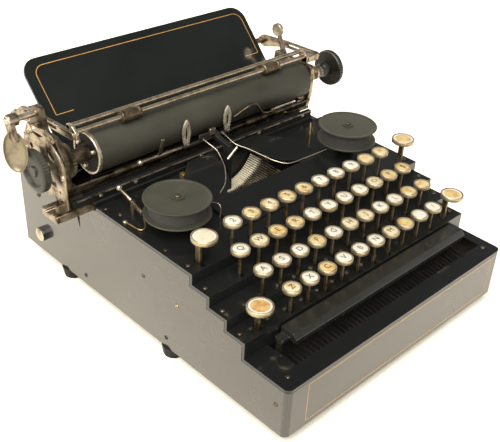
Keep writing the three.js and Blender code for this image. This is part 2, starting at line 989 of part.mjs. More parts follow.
// Outline of the right end plate, which is set back and narrower at the foot.
function rightPlateOutline() {
  const foot = foot_plate_bottom + weld;
  const head = platen_radius + plate_rim;
  return outline([
    [foot_plate_front + weld, foot],
    [foot_plate_back, foot],
    [foot_plate_back + weld, platen_z - head + plate_rim],
    [back_bar_front, back_bar_bottom],
    [back_bar_back, back_bar_bottom],
    [back_bar_back + plate_rim, platen_z],
    [release_pivot_y + plate_rim, release_pivot_z + plate_rim],
    [release_pivot_y - plate_rim, release_pivot_z + plate_rim],
    [back_bar_front - plate_rim * 2, right_plate_top],
    [platen_y - head / 2, right_plate_top],
    [platen_y - head + plate_rim * 2, platen_z + head / 2],
    [platen_y - head + plate_rim * 2, platen_z - head / 2],
  ]);
}

function endPlate(shape, x) {
  const bore = new THREE.Path();
  bore.absarc(platen_y, platen_z, axle_radius + axle_gap, 0, 2 * Math.PI, true);
  shape.holes.push(bore);
  return acrossX(shape, x - plate_thickness / 2, x + plate_thickness / 2);
}

// Stay from the rear bar that the foot of the paper table rests on, with the brace rod at its back.
function tableStay(x) {
  const under_y = table_foot_y + table_thickness * Math.sin(table_slope);
  const under_z = table_foot_z - table_thickness * Math.cos(table_slope) - seat_gap;
  const shape = outline([
    [back_bar_back - weld, back_bar_bottom],
    [under_y, back_bar_bottom],
    [brace_y, brace_z - table_stay_depth],
    [brace_y + table_stay_depth, brace_z],
    [brace_y, brace_z + table_stay_depth / 2],
    [under_y, under_z],
    [back_bar_back - weld, back_bar_top],
  ]);
  return acrossX(shape, x - table_stay_width / 2, x + table_stay_width / 2);
}

// Slotted rail with its upright front bar.
function carriageRail() {
  const top = rail_bottom + rail_height;
  const rail = box(rail_left, rail_right, rail_front, rail_back, rail_bottom, top);
  const groove = box(
    rail_left - cut_overrun,
    rail_right + cut_overrun,
    front_bar_back + way_lip,
    rail_back - way_lip * 3,
    top - way_lip,
    top + cut_overrun,
  );
  const front_bar = box(
    left_plate_x,
    rail_right,
    front_bar_front,
    front_bar_back,
    top - weld,
    front_bar_top,
  );
  const foot_plate = box(
    foot_plate_left,
    right_plate_x + plate_thickness / 2,
    foot_plate_front,
    foot_plate_back,
    foot_plate_bottom,
    foot_plate_bottom + foot_plate_height,
  );
  return join(cut(rail, groove), front_bar, foot_plate);
}

// Fixed pins that the return lever and the release lever turn on.
function carriagePins() {
  const return_pin = rod(
    [left_plate_x, return_pivot_y, return_pivot_z],
    [hub_left - cut_overrun, return_pivot_y, return_pivot_z],
    return_pin_radius,
    pin_sides,
  );
  const release_pin = rod(
    [right_plate_x, release_pivot_y, release_pivot_z],
    [release_x + release_thickness, release_pivot_y, release_pivot_z],
    release_pin_radius,
    pin_sides,
  );
  return join(return_pin, release_pin);
}

function carriageFrame() {
  const back_bar = box(
    left_plate_x,
    right_plate_x,
    back_bar_front,
    back_bar_back,
    back_bar_bottom,
    back_bar_top,
  );
  const brace = rod(
    [bail_left - bail_arm_thickness, brace_y, brace_z],
    [bail_right + bail_arm_thickness, brace_y, brace_z],
    brace_radius,
    pin_sides,
  );
  return join(
    carriageRail(),
    endPlate(leftPlateOutline(), left_plate_x),
    endPlate(rightPlateOutline(), right_plate_x),
    back_bar,
    brace,
    tableStay(table_stay_left),
    tableStay(table_stay_right),
    carriagePins(),
  );
}

function platen() {
  const left = left_knob_face;
  const right = right_knob_face;
  return turnedX([
    [0, left + knob_dish_depth],
    [knob_dish_radius, left + knob_dish_depth],
    [knob_dish_radius, left],
    [knob_radius, left],
    [knob_radius, left + knob_length],
    [axle_radius, left + knob_length],
    [axle_radius, platen_left],
    [platen_ring_radius, platen_left],
    [platen_ring_radius, platen_left + platen_ring_length],
    [platen_radius, platen_left + platen_ring_length],
    [platen_radius, platen_right],
    [axle_radius, platen_right],
    [axle_radius, collar_left],
    [knob_collar_radius, collar_left],
    [knob_collar_radius, collar_left + knob_collar_length],
    [axle_radius, collar_left + knob_collar_length],
    [axle_radius, right - right_knob_length],
    [right_knob_radius, right - right_knob_length],
    [right_knob_radius, right],
    [knob_dish_radius, right],
    [knob_dish_radius, right - knob_dish_depth],
    [0, right - knob_dish_depth],
  ], platen_y, platen_z, knob_sides);
}

// Cupped thumb plate on a neck, hanging from a hub outside the left knob.
function returnLever() {
  const hub = rod(
    [hub_left, return_pivot_y, return_pivot_z],
    [hub_left + return_hub_length, return_pivot_y, return_pivot_z],
    return_hub_radius,
    pin_sides,
  );
  const bore = rod(
    [hub_left - cut_overrun, return_pivot_y, return_pivot_z],
    [hub_left + return_hub_length + cut_overrun, return_pivot_y, return_pivot_z],
    return_pin_radius + axle_gap,
    pin_sides,
  );
  const neck = acrossX(outline([
    [return_pivot_y - return_hub_radius, return_pivot_z],
    [spoon_y - neck_half_width, spoon_z + spoon_half_height / 2],
    [spoon_y + neck_half_width, spoon_z + spoon_half_height / 2],
    [return_pivot_y + return_hub_radius, return_pivot_z],
  ]), spoon_x - spoon_thickness, spoon_x + spoon_dish);
  return cut(join(hub, neck, spoon()), bore);
}

// One cupped half of a hollow egg, turned to face the typist's left hand.
function spoon() {
  const bowl = new THREE.SphereGeometry(1, spoon_sides, spoon_sides / 2);
  bowl.scale(spoon_dish + spoon_thickness, spoon_half_width, spoon_half_height);
  const hollow = new THREE.SphereGeometry(1, spoon_sides, spoon_sides / 2);
  hollow.scale(
    spoon_dish,
    spoon_half_width - spoon_thickness / 2,
    spoon_half_height - spoon_thickness / 2,
  );
  const inner_side = box(
    0,
    spoon_dish * 2,
    -spoon_half_width,
    spoon_half_width,
    -spoon_half_height,
    spoon_half_height,
  );
  const cup = cut(solid(bowl), solid(hollow)).intersect(inner_side);
  return cup.rotate([0, 0, spoon_turn * 180 / Math.PI]).translate([spoon_x, spoon_y, spoon_z]);
}

// Sloping sheet with rounded top corners and a foot that curls forward towards the platen.
function paperTable() {
  const slope_cos = Math.cos(table_slope);
  const slope_sin = Math.sin(table_slope);
  const under_y = table_foot_y + table_thickness * slope_sin;
  const under_z = table_foot_z - table_thickness * slope_cos;
  const section = acrossX(outline([
    [table_curl_y, table_curl_z - table_thickness],
    [under_y, under_z],
    [under_y + table_length * slope_cos, under_z + table_length * slope_sin],
    [table_foot_y + table_length * slope_cos, table_foot_z + table_length * slope_sin],
    [table_foot_y, table_foot_z],
    [table_curl_y, table_curl_z],
  ]), table_left, table_right);
  return section.intersect(tableCutter());
}

// Prism square to the sheet whose top corners are rounded.
function tableCutter() {
  const shape = new THREE.Shape();
  shape.moveTo(table_left - cut_overrun, -table_length);
  shape.lineTo(table_right + cut_overrun, -table_length);
  shape.lineTo(table_right + cut_overrun, table_length - table_corner);
  shape.lineTo(table_right, table_length - table_corner);
  shape.quadraticCurveTo(table_right, table_length, table_right - table_corner, table_length);
  shape.lineTo(table_left + table_corner, table_length);
  shape.quadraticCurveTo(table_left, table_length, table_left, table_length - table_corner);
  shape.lineTo(table_left - cut_overrun, table_length - table_corner);
  const prism = new THREE.ExtrudeGeometry(shape, {
    depth: table_length,
    bevelEnabled: false,
    curveSegments: curve_steps,
  });
  prism.translate(0, 0, -table_length / 2);
  prism.rotateX(table_slope);
  prism.translate(0, table_foot_y, table_foot_z);
  return solid(prism);
}

// Two rods with rollers, held by long arms that swing on the brace rod behind the paper table.
function paperBail() {
  const rollers = [bail_roller_left, bail_roller_right].map((x) => rod(
    [x - bail_roller_length / 2, bail_rod_y, bail_rod_z],
    [x + bail_roller_length / 2, bail_rod_y, bail_rod_z],
    bail_roller_radius,
    pin_sides,
  ));
  const arms = [bail_left, bail_right].map((x) => acrossX(
    bailArmOutline(),
    x - bail_arm_thickness / 2,
    x + bail_arm_thickness / 2,
  ));
  const rods = [[bail_rod_y, bail_rod_z], [bail_back_rod_y, bail_back_rod_z]].map(([y, z]) => rod(
    [bail_left, y, z],
    [bail_block_left + bail_head_thickness, y, z],
    bail_rod_radius,
    rod_sides,
  ));
  const heads = [bail_left, bail_block_left].map((x) => acrossX(
    bailHeadOutline(),
    x,
    x + bail_head_thickness,
  ));
  const block = box(
    bail_block_left,
    bail_right,
    bail_block_front,
    bail_rod_y + bail_rod_radius * 2,
    bail_block_bottom,
    bail_block_top,
  );
  return join(...rods, ...arms, ...rollers, ...heads, block);
}

function bailArmOutline() {
  const shape = outline([
    [bail_arm_front, bail_arm_front_z - bail_arm_half],
    [bail_arm_middle, bail_arm_middle_z - bail_arm_half],
    [brace_y, brace_z - bail_boss],
    [brace_y + bail_boss, brace_z],
    [brace_y, brace_z + bail_boss],
    [bail_arm_middle, bail_arm_middle_z + bail_arm_half],
    [bail_arm_front, bail_arm_front_z + bail_arm_half],
  ]);
  const bore = new THREE.Path();
  bore.absarc(brace_y, brace_z, brace_radius + axle_gap, 0, 2 * Math.PI, true);
  shape.holes.push(bore);
  return shape;
}

// Section of the piece that holds both rods at an arm's front end.
function bailHeadOutline() {
  const top = bail_back_rod_z + bail_rod_radius;
  return outline([
    [bail_block_front, bail_block_bottom],
    [bail_rod_y + bail_rod_radius, bail_block_bottom],
    [bail_block_back, bail_back_rod_z - bail_rod_radius],
    [bail_block_back, top],
    [bail_rod_y + bail_rod_radius, top],
    [bail_block_front, bail_block_top],
  ]);
}

function releaseLever() {
  const top_y = release_pivot_y + release_lean;
  const top_z = release_pivot_z + release_height;
  const half = release_width / 2;
  const shape = outline([
    [release_pivot_y - half, release_pivot_z - half],
    [release_pivot_y + half, release_pivot_z - half],
    [release_pivot_y + half, release_pivot_z + half],
    [top_y + half / 2, top_z],
    [top_y - half / 2, top_z],
    [release_pivot_y - half, release_pivot_z + half],
  ]);
  const bore = new THREE.Path();
  bore.absarc(release_pivot_y, release_pivot_z, release_pin_radius + axle_gap, 0, 2 * Math.PI, true);
  shape.holes.push(bore);
  const blade = acrossX(shape, release_x - release_thickness / 2, release_x + release_thickness / 2);
  const disc = rod(
    [release_x - release_disc_thickness / 2, top_y, top_z],
    [release_x + release_disc_thickness / 2, top_y, top_z],
    release_disc_radius,
    pin_sides,
  );
  return join(blade, disc);
}

function springDrum() {
  const back = drum_front + drum_length;
  const drum = rod([drum_x, drum_front, drum_z], [drum_x, back, drum_z], drum_radius, knob_sides);
  const bore = rod(
    [drum_x, drum_front - cut_overrun, drum_z],
    [drum_x, back + cut_overrun, drum_z],
    drum_pin_radius + drum_gap,
    pin_sides,
  );
  return cut(drum, bore);
}

// Materials

function enamel() {
  return new THREE.MeshStandardMaterial({ color: 0x0c0e0d, roughness: 0.25, metalness: 0.1 });
}

function darkSteel() {
  return new THREE.MeshStandardMaterial({ color: 0x2b2622, roughness: 0.5, metalness: 0.8 });
}

function nickel() {
  return new THREE.MeshStandardMaterial({ color: 0xb9a88f, roughness: 0.35, metalness: 0.9 });
}

function hardRubber() {
  return new THREE.MeshStandardMaterial({ color: 0x1b1b19, roughness: 0.6, metalness: 0 });
}

function keyGlass() {
  return new THREE.MeshStandardMaterial({ color: 0xefe6cc, roughness: 0.2, metalness: 0 });
}

// Assembly

const machine = new THREE.Group();

function place(name, body, material) {
  const mesh_data = body.getMesh();
  const geometry = new THREE.BufferGeometry();
  const positions = new Float32Array(mesh_data.triVerts.length * 3);
  mesh_data.triVerts.forEach((vertex, corner) => {
    for (let axis = 0; axis < 3; axis += 1) {
      positions[corner * 3 + axis] = mesh_data.vertProperties[vertex * mesh_data.numProp + axis];
    }
  });
  geometry.setAttribute('position', new THREE.BufferAttribute(positions, 3));
  geometry.computeVertexNormals();
  const mesh = new THREE.Mesh(geometry, material);
  mesh.name = name;
  machine.add(mesh);
}

place('frame', frame(), enamel());
place('foot_frame', footFrame(), darkSteel());
place('keyboard_deck', keyboardDeck(), enamel());
place('type_basket', typeBasket(), nickel());
place('carriage_way', carriageWay(), darkSteel());
place('carriage_frame', carriageFrame(), nickel());
place('platen', platen(), hardRubber());
place('return_lever', returnLever(), nickel());
place('paper_table', paperTable(), enamel());
place('paper_bail', paperBail(), nickel());
place('release_lever', releaseLever(), nickel());
place('left_spool', ribbonSpool(-1), enamel());
place('right_spool', ribbonSpool(1), enamel());
place('shift_keys', shiftKeys(), keyGlass());
place('margin_key', outerKey(margin_key_x, -outer_lever_x, margin_key_lift), keyGlass());
place('backspace_key', outerKey(backspace_key_x, outer_lever_x, backspace_key_lift), keyGlass());
place('space_bar', spaceBar(), enamel());
place('spring_drum', springDrum(), darkSteel());
for (let row = 0; row < key_rows.length; row += 1) {
  for (let number = 0; number < key_rows[row].count; number += 1) {
    place(`key_${key_rows[row].name}_${number + 1}`, characterKey(row, number), keyGlass());
  }
}

// The finished part stands on its feet, centred on the middle of its own footprint.
const reach = new THREE.Box3().setFromObject(machine);
machine.position.set(-(reach.min.x + reach.max.x) / 2, -(reach.min.y + reach.max.y) / 2, -reach.min.z);

const group = new THREE.Group();
group.add(machine);

export default group;
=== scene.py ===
"""Dresses the flatbed typewriter: glazed keys with letters, ribbon spools, platen and type basket,
worn nickel works, gloss enamel with gold lines, and a plain pale studio round it."""

import math
from functools import partial

import bmesh
import bpy
from mathutils import Matrix, Vector


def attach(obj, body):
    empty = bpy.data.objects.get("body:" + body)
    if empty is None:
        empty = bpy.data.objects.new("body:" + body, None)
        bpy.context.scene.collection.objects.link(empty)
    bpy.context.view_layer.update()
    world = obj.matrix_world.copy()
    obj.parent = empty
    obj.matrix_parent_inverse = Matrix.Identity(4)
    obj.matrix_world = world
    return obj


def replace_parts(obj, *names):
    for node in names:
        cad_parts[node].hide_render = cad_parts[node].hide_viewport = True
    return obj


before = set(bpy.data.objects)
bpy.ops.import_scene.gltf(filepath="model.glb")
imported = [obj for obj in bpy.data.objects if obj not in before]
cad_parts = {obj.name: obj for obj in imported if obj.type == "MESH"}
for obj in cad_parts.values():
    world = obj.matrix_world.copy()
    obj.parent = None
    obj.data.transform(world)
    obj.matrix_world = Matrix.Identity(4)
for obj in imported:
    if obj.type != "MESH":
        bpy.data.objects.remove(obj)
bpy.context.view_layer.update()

# Places are in millimetres from the middle of the lower edge of the body's front.
# This scale and this step move them into the shared frame.
MM = 0.001
ORIGIN = Vector((4.3615, -168.341, 10.0))

# Driving dimensions of the body and the keyboard
half_width = 132
apron_height = 45.3
apron_thickness = 3
first_rise = 14.6
row_rise = 9.3
first_riser_y = 44
row_depth = 18.75
deck_top = 87.8
deck_edge_x = 127
key_pitch = 19.05
stagger_share = 0.25
first_key_share = -5.057
key_radius = 7.3
key_thickness = 4
big_key_radius = 10
big_cap_forward = 2.5
fulcrum_y = 226
fulcrum_z = 48
lever_tip_y = 14
lever_tip_z = 27

# Driving dimensions of the works
spool_x = 98.5
spool_y = 156.7
spool_top = 113.3
spool_radius = 26.5
platen_y = 245
platen_z = 119.6
platen_radius = 17.4
platen_left = -118.5
platen_right = 125
basket_radius = 40.8
basket_centre_z = 99
basket_half_angle = math.radians(62)
typebar_count = 42
typebar_span = basket_half_angle * 0.96
basket_floor = 56.3
left_plate_x = -150
right_plate_x = 131.5
plate_half = 2.5
left_outer = left_plate_x - plate_half
right_outer = right_plate_x + plate_half
rail_left = -166
rail_right = 120
rail_top = 91
table_foot_y = 283
table_foot_z = 110.7
table_slope = math.radians(46.5)
return_pivot = (257, 160)
release_pivot = (277, 131)

# Sides of round forms
fine_sides = 96
round_sides = 48
axle_sides = 40
small_sides = 24
tiny_sides = 20

# Roundings of edges
faint_edge = 0.2
fine_edge = 0.3
plate_edge = 0.4
clean_edge = 0.5
broad_edge = 0.6

# Finish of the meshes
sharp_angle = 40
least_radius = 0.001
merge_distance = 0.002
weld_distance = 0.01
sides_label = ((-1, "left"), (1, "right"))


# Shapes are made as (points, faces) in millimetres and turned into pieces at the end.

AXES = {
    "x": lambda a, b, t: (t, a, b),
    "y": lambda a, b, t: (a, t, b),
    "z": lambda a, b, t: (a, b, t),
}


def merged(*shapes):
    """Several shapes as one."""
    points = []
    faces = []
    for shape_points, shape_faces in shapes:
        start = len(points)
        points.extend(shape_points)
        faces.extend([tuple(index + start for index in face) for face in shape_faces])
    return points, faces


def rings_to_shape(rings):
    """Joins rings of equal length one after another, with a flat face at each end."""
    count = len(rings[0])
    points = [point for ring in rings for point in ring]
    faces = []
    for start in range(0, len(points) - count, count):
        for corner in range(count):
            following = (corner + 1) % count
            near = (start + corner, start + following)
            far = (start + count + following, start + count + corner)
            faces.append(near + far)
    faces.append(tuple(range(count)))
    faces.append(tuple(len(points) - 1 - corner for corner in range(count)))
    return points, faces


def circle(radius, sides, centre=(0, 0)):
    step = math.tau / sides
    return [
        (centre[0] + radius * math.cos(step * side), centre[1] + radius * math.sin(step * side))
        for side in range(sides)
    ]


def arc(centre, radius, start, end, steps=8):
    """Points round a centre between two angles in degrees."""
    angles = [math.radians(start + (end - start) * step / steps) for step in range(steps + 1)]
    return [(centre[0] + radius * math.cos(a), centre[1] + radius * math.sin(a)) for a in angles]


def bores(rows):
    """The outlines of round holes. Rows hold a radius, a number of sides and a centre."""
    return [circle(radius, sides, centre) for radius, sides, centre in rows]


def round_top(left, right, high, radius):
    """The rounded top corners of a sheet, from left to right."""
    low = high - radius
    return arc((left + radius, low), radius, 180, 90) + arc((right - radius, low), radius, 90, 0)


def band(centre, inner, outer, start, end, steps):
    """The outline of a strip bent round a centre, between two angles from straight down."""
    angles = [start + (end - start) * step / steps for step in range(steps + 1)]
    reaches = [(inner, angle) for angle in angles] + [(outer, angle) for angle in reversed(angles)]
    return [
        (centre[0] + reach * math.sin(angle), centre[1] - reach * math.cos(angle))
        for reach, angle in reaches
    ]


def lathe(profile, axis, centre, sides):
    """A profile of (radius, place along the axis) turned about that axis."""
    turn = AXES[axis]
    return rings_to_shape([
        [turn(a, b, along) for a, b in circle(max(radius, least_radius), sides, centre)]
        for radius, along in profile
    ])


def pin(radius, start, end, centre, sides):
    """A plain round bar along X."""
    return lathe([(0, start), (radius, start), (radius, end), (0, end)], "x", centre, sides)


def wave_lathe(profile, axis, centre, teeth, depth, sides_per_tooth=4):
    """A lathe with a rippled rim, for knurled knobs and toothed wheels: depth is a share of the radius."""
    turn = AXES[axis]
    angles = [math.tau * side / (teeth * sides_per_tooth) for side in range(teeth * sides_per_tooth)]
    rings = []
    for radius, along, rippled in profile:
        ring = []
        for angle in angles:
            ripple = math.cos(angle * teeth) * depth * radius if rippled else 0
            reach = max(radius + ripple, least_radius)
            across = centre[0] + reach * math.cos(angle)
            up = centre[1] + reach * math.sin(angle)
            ring.append(turn(across, up, along))
        rings.append(ring)
    return rings_to_shape(rings)


def prism(outline, axis, low, high):
    turn = AXES[axis]
    return rings_to_shape([[turn(a, b, along) for a, b in outline] for along in (low, high)])


def block(x_range, y_range, z_range):
    (x0, x1), (y0, y1) = x_range, y_range
    return prism([(x0, y0), (x1, y0), (x1, y1), (x0, y1)], "z", *z_range)


def around(middle, half):
    return middle - half, middle + half


def smooth_path(points, steps):
    """Points along a smooth curve through the given ones. One step leaves them as they are."""
    points = [Vector(point) for point in points]
    path = []
    for index in range(len(points) - 1):
        before = points[max(index - 1, 0)]
        start = points[index]
        end = points[index + 1]
        after = points[min(index + 2, len(points) - 1)]
        for step in range(steps):
            share = step / steps
            square = share * share
            cube = square * share
            path.append(0.5 * (
                2 * start
                + (end - before) * share
                + (2 * before - 5 * start + 4 * end - after) * square
                + (3 * start - before - 3 * end + after) * cube
            ))
    path.append(points[-1])
    return path


def tube(path, radius, sides, end_radius=None):
    """A round wire or rod along a path, which may taper."""
    path = [Vector(point) for point in path]
    end_radius = radius if end_radius is None else end_radius
    side_way = (path[1] - path[0]).normalized().orthogonal().normalized()
    rings = []
    for index, point in enumerate(path):
        before = path[max(index - 1, 0)]
        after = path[min(index + 1, len(path) - 1)]
        forward = (after - before).normalized()
        side_way = (side_way - forward * side_way.dot(forward)).normalized()
        other_way = forward.cross(side_way)
        reach = radius + (end_radius - radius) * index / (len(path) - 1)
        rings.append([tuple(point + side_way * a + other_way * b) for a, b in circle(reach, sides)])
    return rings_to_shape(rings)


def coil(start, end, radius, turns, wire, steps_per_turn=14):
    """A coil spring between two points."""
    start = Vector(start)
    end = Vector(end)
    forward = (end - start).normalized()
    side_way = forward.orthogonal().normalized()
    other_way = forward.cross(side_way)
    count = turns * steps_per_turn
    path = []
    for step in range(count + 1):
        angle = math.tau * step / steps_per_turn
        middle = start.lerp(end, step / count)
        path.append(middle + side_way * math.cos(angle) * radius + other_way * math.sin(angle) * radius)
    wire_sides = 8
    return tube(path, wire, wire_sides)


def moved(shape, where, spin=None):
    """A shape turned about the origin by a matrix, where one is given, and moved."""
    points, faces = shape
    spin = spin or Matrix.Identity(3)
    return [tuple(spin @ Vector(point) + Vector(where)) for point in points], faces


def curve_shape(curve, axis, middle):
    """The filled body of a flat curve."""
    holder = bpy.data.objects.new("holder", curve)
    bpy.context.scene.collection.objects.link(holder)
    graph = bpy.context.evaluated_depsgraph_get()
    mesh = bpy.data.meshes.new_from_object(holder.evaluated_get(graph))
    turn = AXES[axis]
    points = [turn(v.co.x, v.co.y, v.co.z + middle) for v in mesh.vertices]
    faces = [tuple(polygon.vertices) for polygon in mesh.polygons]
    bpy.data.objects.remove(holder)
    bpy.data.meshes.remove(mesh)
    bpy.data.curves.remove(curve)
    return points, faces


def plate(outline, holes, axis, low, high, edge=0.3):
    """A flat plate with rounded edges and real holes."""
    curve = bpy.data.curves.new("plate", "CURVE")
    curve.dimensions = "2D"
    curve.fill_mode = "BOTH"
    curve.extrude = (high - low) / 2 - edge
    curve.bevel_depth = edge
    curve.bevel_resolution = 1
    curve.offset = -edge
    for loop in [outline, *holes]:
        spline = curve.splines.new("POLY")
        spline.points.add(len(loop) - 1)
        for point, (a, b) in zip(spline.points, loop):
            point.co = (a, b, 0, 1)
        spline.use_cyclic_u = True
    return curve_shape(curve, axis, (high + low) / 2)


def rounded(corners, radius, steps=5):
    """An outline whose corners are rounded off."""
    outline = []
    for index, corner in enumerate(corners):
        corner = Vector(corner)
        before = Vector(corners[index - 1])
        after = Vector(corners[(index + 1) % len(corners)])
        start = corner + (before - corner).normalized() * min(radius, (before - corner).length / 2)
        end = corner + (after - corner).normalized() * min(radius, (after - corner).length / 2)
        for step in range(steps + 1):
            share = step / steps
            outline.append(tuple(start.lerp(corner, share).lerp(corner.lerp(end, share), share)))
    return outline


# Pieces

def soften(made, width, angle):
    """Rounds every edge that turns by more than an angle."""
    bevel = made.modifiers.new("edges", "BEVEL")
    bevel.width = width * MM
    bevel.segments = 2
    bevel.limit_method = "ANGLE"
    bevel.angle_limit = math.radians(angle)


def piece(name, shape, material, edge=0.0, sharp=sharp_angle, *, body, slot):
    """Makes a named object from a shape, gives it a finish, and lets it ride on a body."""
    points, faces = shape
    mesh = bpy.data.meshes.new(name)
    mesh.from_pydata([(Vector(point) + ORIGIN) * MM for point in points], [], faces)
    work = bmesh.new()
    work.from_mesh(mesh)
    bmesh.ops.remove_doubles(work, verts=work.verts, dist=merge_distance * MM)
    bmesh.ops.dissolve_degenerate(work, edges=work.edges, dist=merge_distance / 2 * MM)
    bmesh.ops.recalc_face_normals(work, faces=work.faces)
    work.to_mesh(mesh)
    work.free()
    mesh.polygons.foreach_set("use_smooth", [True] * len(mesh.polygons))
    mesh.set_sharp_from_angle(angle=math.radians(sharp))
    mesh.materials.append(material)
    made = bpy.data.objects.new(name, mesh)
    bpy.context.scene.collection.objects.link(made)
    if edge:
        soften(made, edge, sharp)
    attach(made, body)
    return made


# Makers of the pieces that share a body
on_body = partial(piece, body="base", slot="body_enamel")
on_deck = partial(piece, body="base", slot="deck_enamel")
on_basket = partial(piece, body="base", slot="typebar_steel")
on_way = partial(piece, body="base", slot="way_steel")
on_platen = partial(piece, body="platen", slot="platen_rubber")
on_carriage = partial(piece, body="carriage", slot="carriage_nickel")
on_table_sheet = partial(piece, body="carriage", slot="table_enamel")
on_bail = partial(piece, body="paper_bail", slot="bail_nickel")
on_return = partial(piece, body="return_lever", slot="lever_nickel")
on_release = partial(piece, body="release_lever", slot="lever_nickel")
on_drum = partial(piece, body="spring_drum", slot="drum_steel")


def blocks(fit, rows):
    """Rows hold a name, the ranges along X, Y and Z, a finish, and the rounding of the edges."""
    for name, x_range, y_range, z_range, material, edge in rows:
        fit(name, block(x_range, y_range, z_range), material, edge)


def wires(fit, rows):
    """Rows hold a name, a path, its smoothing steps, a radius, a number of sides, and a finish."""
    for name, path, steps, radius, sides, material in rows:
        fit(name, tube(smooth_path(path, steps), radius, sides), material)


def turned(fit, rows):
    """Rows hold a name, a profile along X, its centre in Y and Z, a number of sides, and a finish."""
    for name, profile, centre, sides, material in rows:
        fit(name, lathe(profile, "x", centre, sides), material)


def plates(fit, rows):
    """Rows hold a name, corners in Y and Z, their rounding, holes, the range along X, edge, finish."""
    for name, corners, radius, holes, (low, high), edge, material in rows:
        fit(name, plate(rounded(corners, radius), holes, "x", low, high, edge), material)


# Materials. Shades and wear come from noise in the object's own space.

def new_material(name):
    material = bpy.data.materials.new(name)
    material.use_nodes = True
    return material, material.node_tree, material.node_tree.nodes["Principled BSDF"]


def noise(tree, scale, detail, roughness=0.55):
    coords = tree.nodes.new("ShaderNodeTexCoord")
    texture = tree.nodes.new("ShaderNodeTexNoise")
    texture.inputs["Scale"].default_value = scale
    texture.inputs["Detail"].default_value = detail
    texture.inputs["Roughness"].default_value = roughness
    tree.links.new(coords.outputs["Object"], texture.inputs["Vector"])
    return texture.outputs["Fac"]


def ramp(tree, source, stops, socket):
    """Turns a value into a colour or a grey for a socket, by stops of (position, colour)."""
    node = tree.nodes.new("ShaderNodeValToRGB")
    for element, (position, colour) in zip(node.color_ramp.elements, stops):
        element.position = position
        element.color = (*colour, 1.0)
    for position, colour in stops[2:]:
        node.color_ramp.elements.new(position).color = (*colour, 1.0)
    tree.links.new(source, node.inputs["Fac"])
    tree.links.new(node.outputs["Color"], socket)


def settle(shader, values):
    """Sets the sockets that are the same all over the surface."""
    for socket, value in values.items():
        shader.inputs[socket].default_value = value


def grey(value):
    return (value, value, value)


def scaled(colour, share):
    return tuple(min(1.0, channel * share) for channel in colour)


def enamel(name, colour, coat_roughness, ripple_strength=0.05, coat_ior=1.55):
    """Old gloss enamel: black paint under a clear coat, with faint dust and handling marks."""
    material, tree, shader = new_material(name)
    patches = noise(tree, scale=16.0, detail=6.0)
    shades = [(0.3, scaled(colour, 0.75)), (0.75, scaled(colour, 1.5))]
    ramp(tree, patches, shades, shader.inputs["Base Color"])
    grain = noise(tree, scale=210.0, detail=6.0, roughness=0.7)
    dull = [(0.3, grey(coat_roughness * 0.5)), (0.75, grey(coat_roughness * 1.6))]
    ramp(tree, grain, dull, shader.inputs["Coat Roughness"])
    settle(shader, {"Roughness": 0.5, "Coat Weight": 1.0, "Coat IOR": coat_ior, "Specular IOR Level": 0.15})
    bump = tree.nodes.new("ShaderNodeBump")
    ripple_height = 0.6
    settle(bump, {"Strength": ripple_strength, "Distance": ripple_height * MM})
    tree.links.new(noise(tree, scale=45.0, detail=3.0), bump.inputs["Height"])
    tree.links.new(bump.outputs["Normal"], shader.inputs["Coat Normal"])
    return material


def plated(name, bright, stain, roughness, stain_share, metallic=0.85):
    """Worn nickel plate, yellowed, with brown stains where the plating has thinned."""
    material, tree, shader = new_material(name)
    start = 0.66 - stain_share * 0.3
    stops = [(start - 0.12, bright), (start + 0.02, scaled(bright, 0.7)), (start + 0.14, stain)]
    ramp(tree, noise(tree, scale=130.0, detail=4.0, roughness=0.6), stops, shader.inputs["Base Color"])
    polish = [(0.35, grey(roughness * 0.85)), (0.75, grey(roughness * 1.25))]
    ramp(tree, noise(tree, scale=100.0, detail=1.5), polish, shader.inputs["Roughness"])
    settle(shader, {"Metallic": metallic})
    return material


def satin(name, colour, roughness, metallic=0.0, variation=0.4, scale=60.0, coat=0.0, shine=0.5):
    """A plain satin surface with slow changes of shade."""
    material, tree, shader = new_material(name)
    patches = noise(tree, scale, detail=5.0)
    shades = [(0.3, scaled(colour, 1.0 - variation * 0.5)), (0.7, scaled(colour, 1.0 + variation))]
    ramp(tree, patches, shades, shader.inputs["Base Color"])
    dull = [(0.3, grey(roughness * 0.8)), (0.7, grey(min(1.0, roughness * 1.25)))]
    ramp(tree, patches, dull, shader.inputs["Roughness"])
    settle(shader, {"Metallic": metallic, "Specular IOR Level": shine})
    settle(shader, {"Coat Weight": coat, "Coat Roughness": 0.25})
    return material


def card(name, colour, stain, stain_start):
    """A printed card under clear glass, stained by age in soft patches."""
    material, tree, shader = new_material(name)
    stops = [(stain_start, colour), (stain_start + 0.14, stain)]
    ramp(tree, noise(tree, scale=150.0, detail=5.0, roughness=0.6), stops, shader.inputs["Base Color"])
    settle(shader, {"Roughness": 0.7, "Coat Weight": 1.0, "Coat Roughness": 0.04, "Coat IOR": 1.5})
    return material


# The first two are lighter copies of the deck's black enamel below them, with a brighter colour and a
# stronger coat: painted reflection of the pale floor on the faces that look sideways and forward.
side_paint_lit_copy = enamel("side_paint_lit_copy", (0.014, 0.011, 0.008), 0.14, 0.08, 1.69)
apron_paint_lit_copy = enamel("apron_paint_lit_copy", (0.012, 0.0095, 0.007), 0.16, 0.08, 1.56)
deck_paint = enamel("deck_paint", (0.0035, 0.0038, 0.0034), 0.07, 0.05, 1.46)
table_paint = enamel("table_paint", (0.004, 0.005, 0.0042), 0.12)
bar_paint = enamel("bar_paint", (0.008, 0.008, 0.006), 0.2, 0.05, 1.62)
nickel = plated("nickel", (0.37, 0.30, 0.215), (0.09, 0.055, 0.028), 0.3, 0.55, 0.92)
rod_nickel = plated("rod_nickel", (0.42, 0.34, 0.235), (0.24, 0.18, 0.10), 0.28, 0.3, 0.85)
bright_nickel = plated("bright_nickel", (0.50, 0.42, 0.31), (0.26, 0.18, 0.10), 0.28, 0.15)
polished_nickel = plated("polished_nickel", (0.72, 0.67, 0.56), (0.45, 0.38, 0.26), 0.2, 0.1, 0.6)
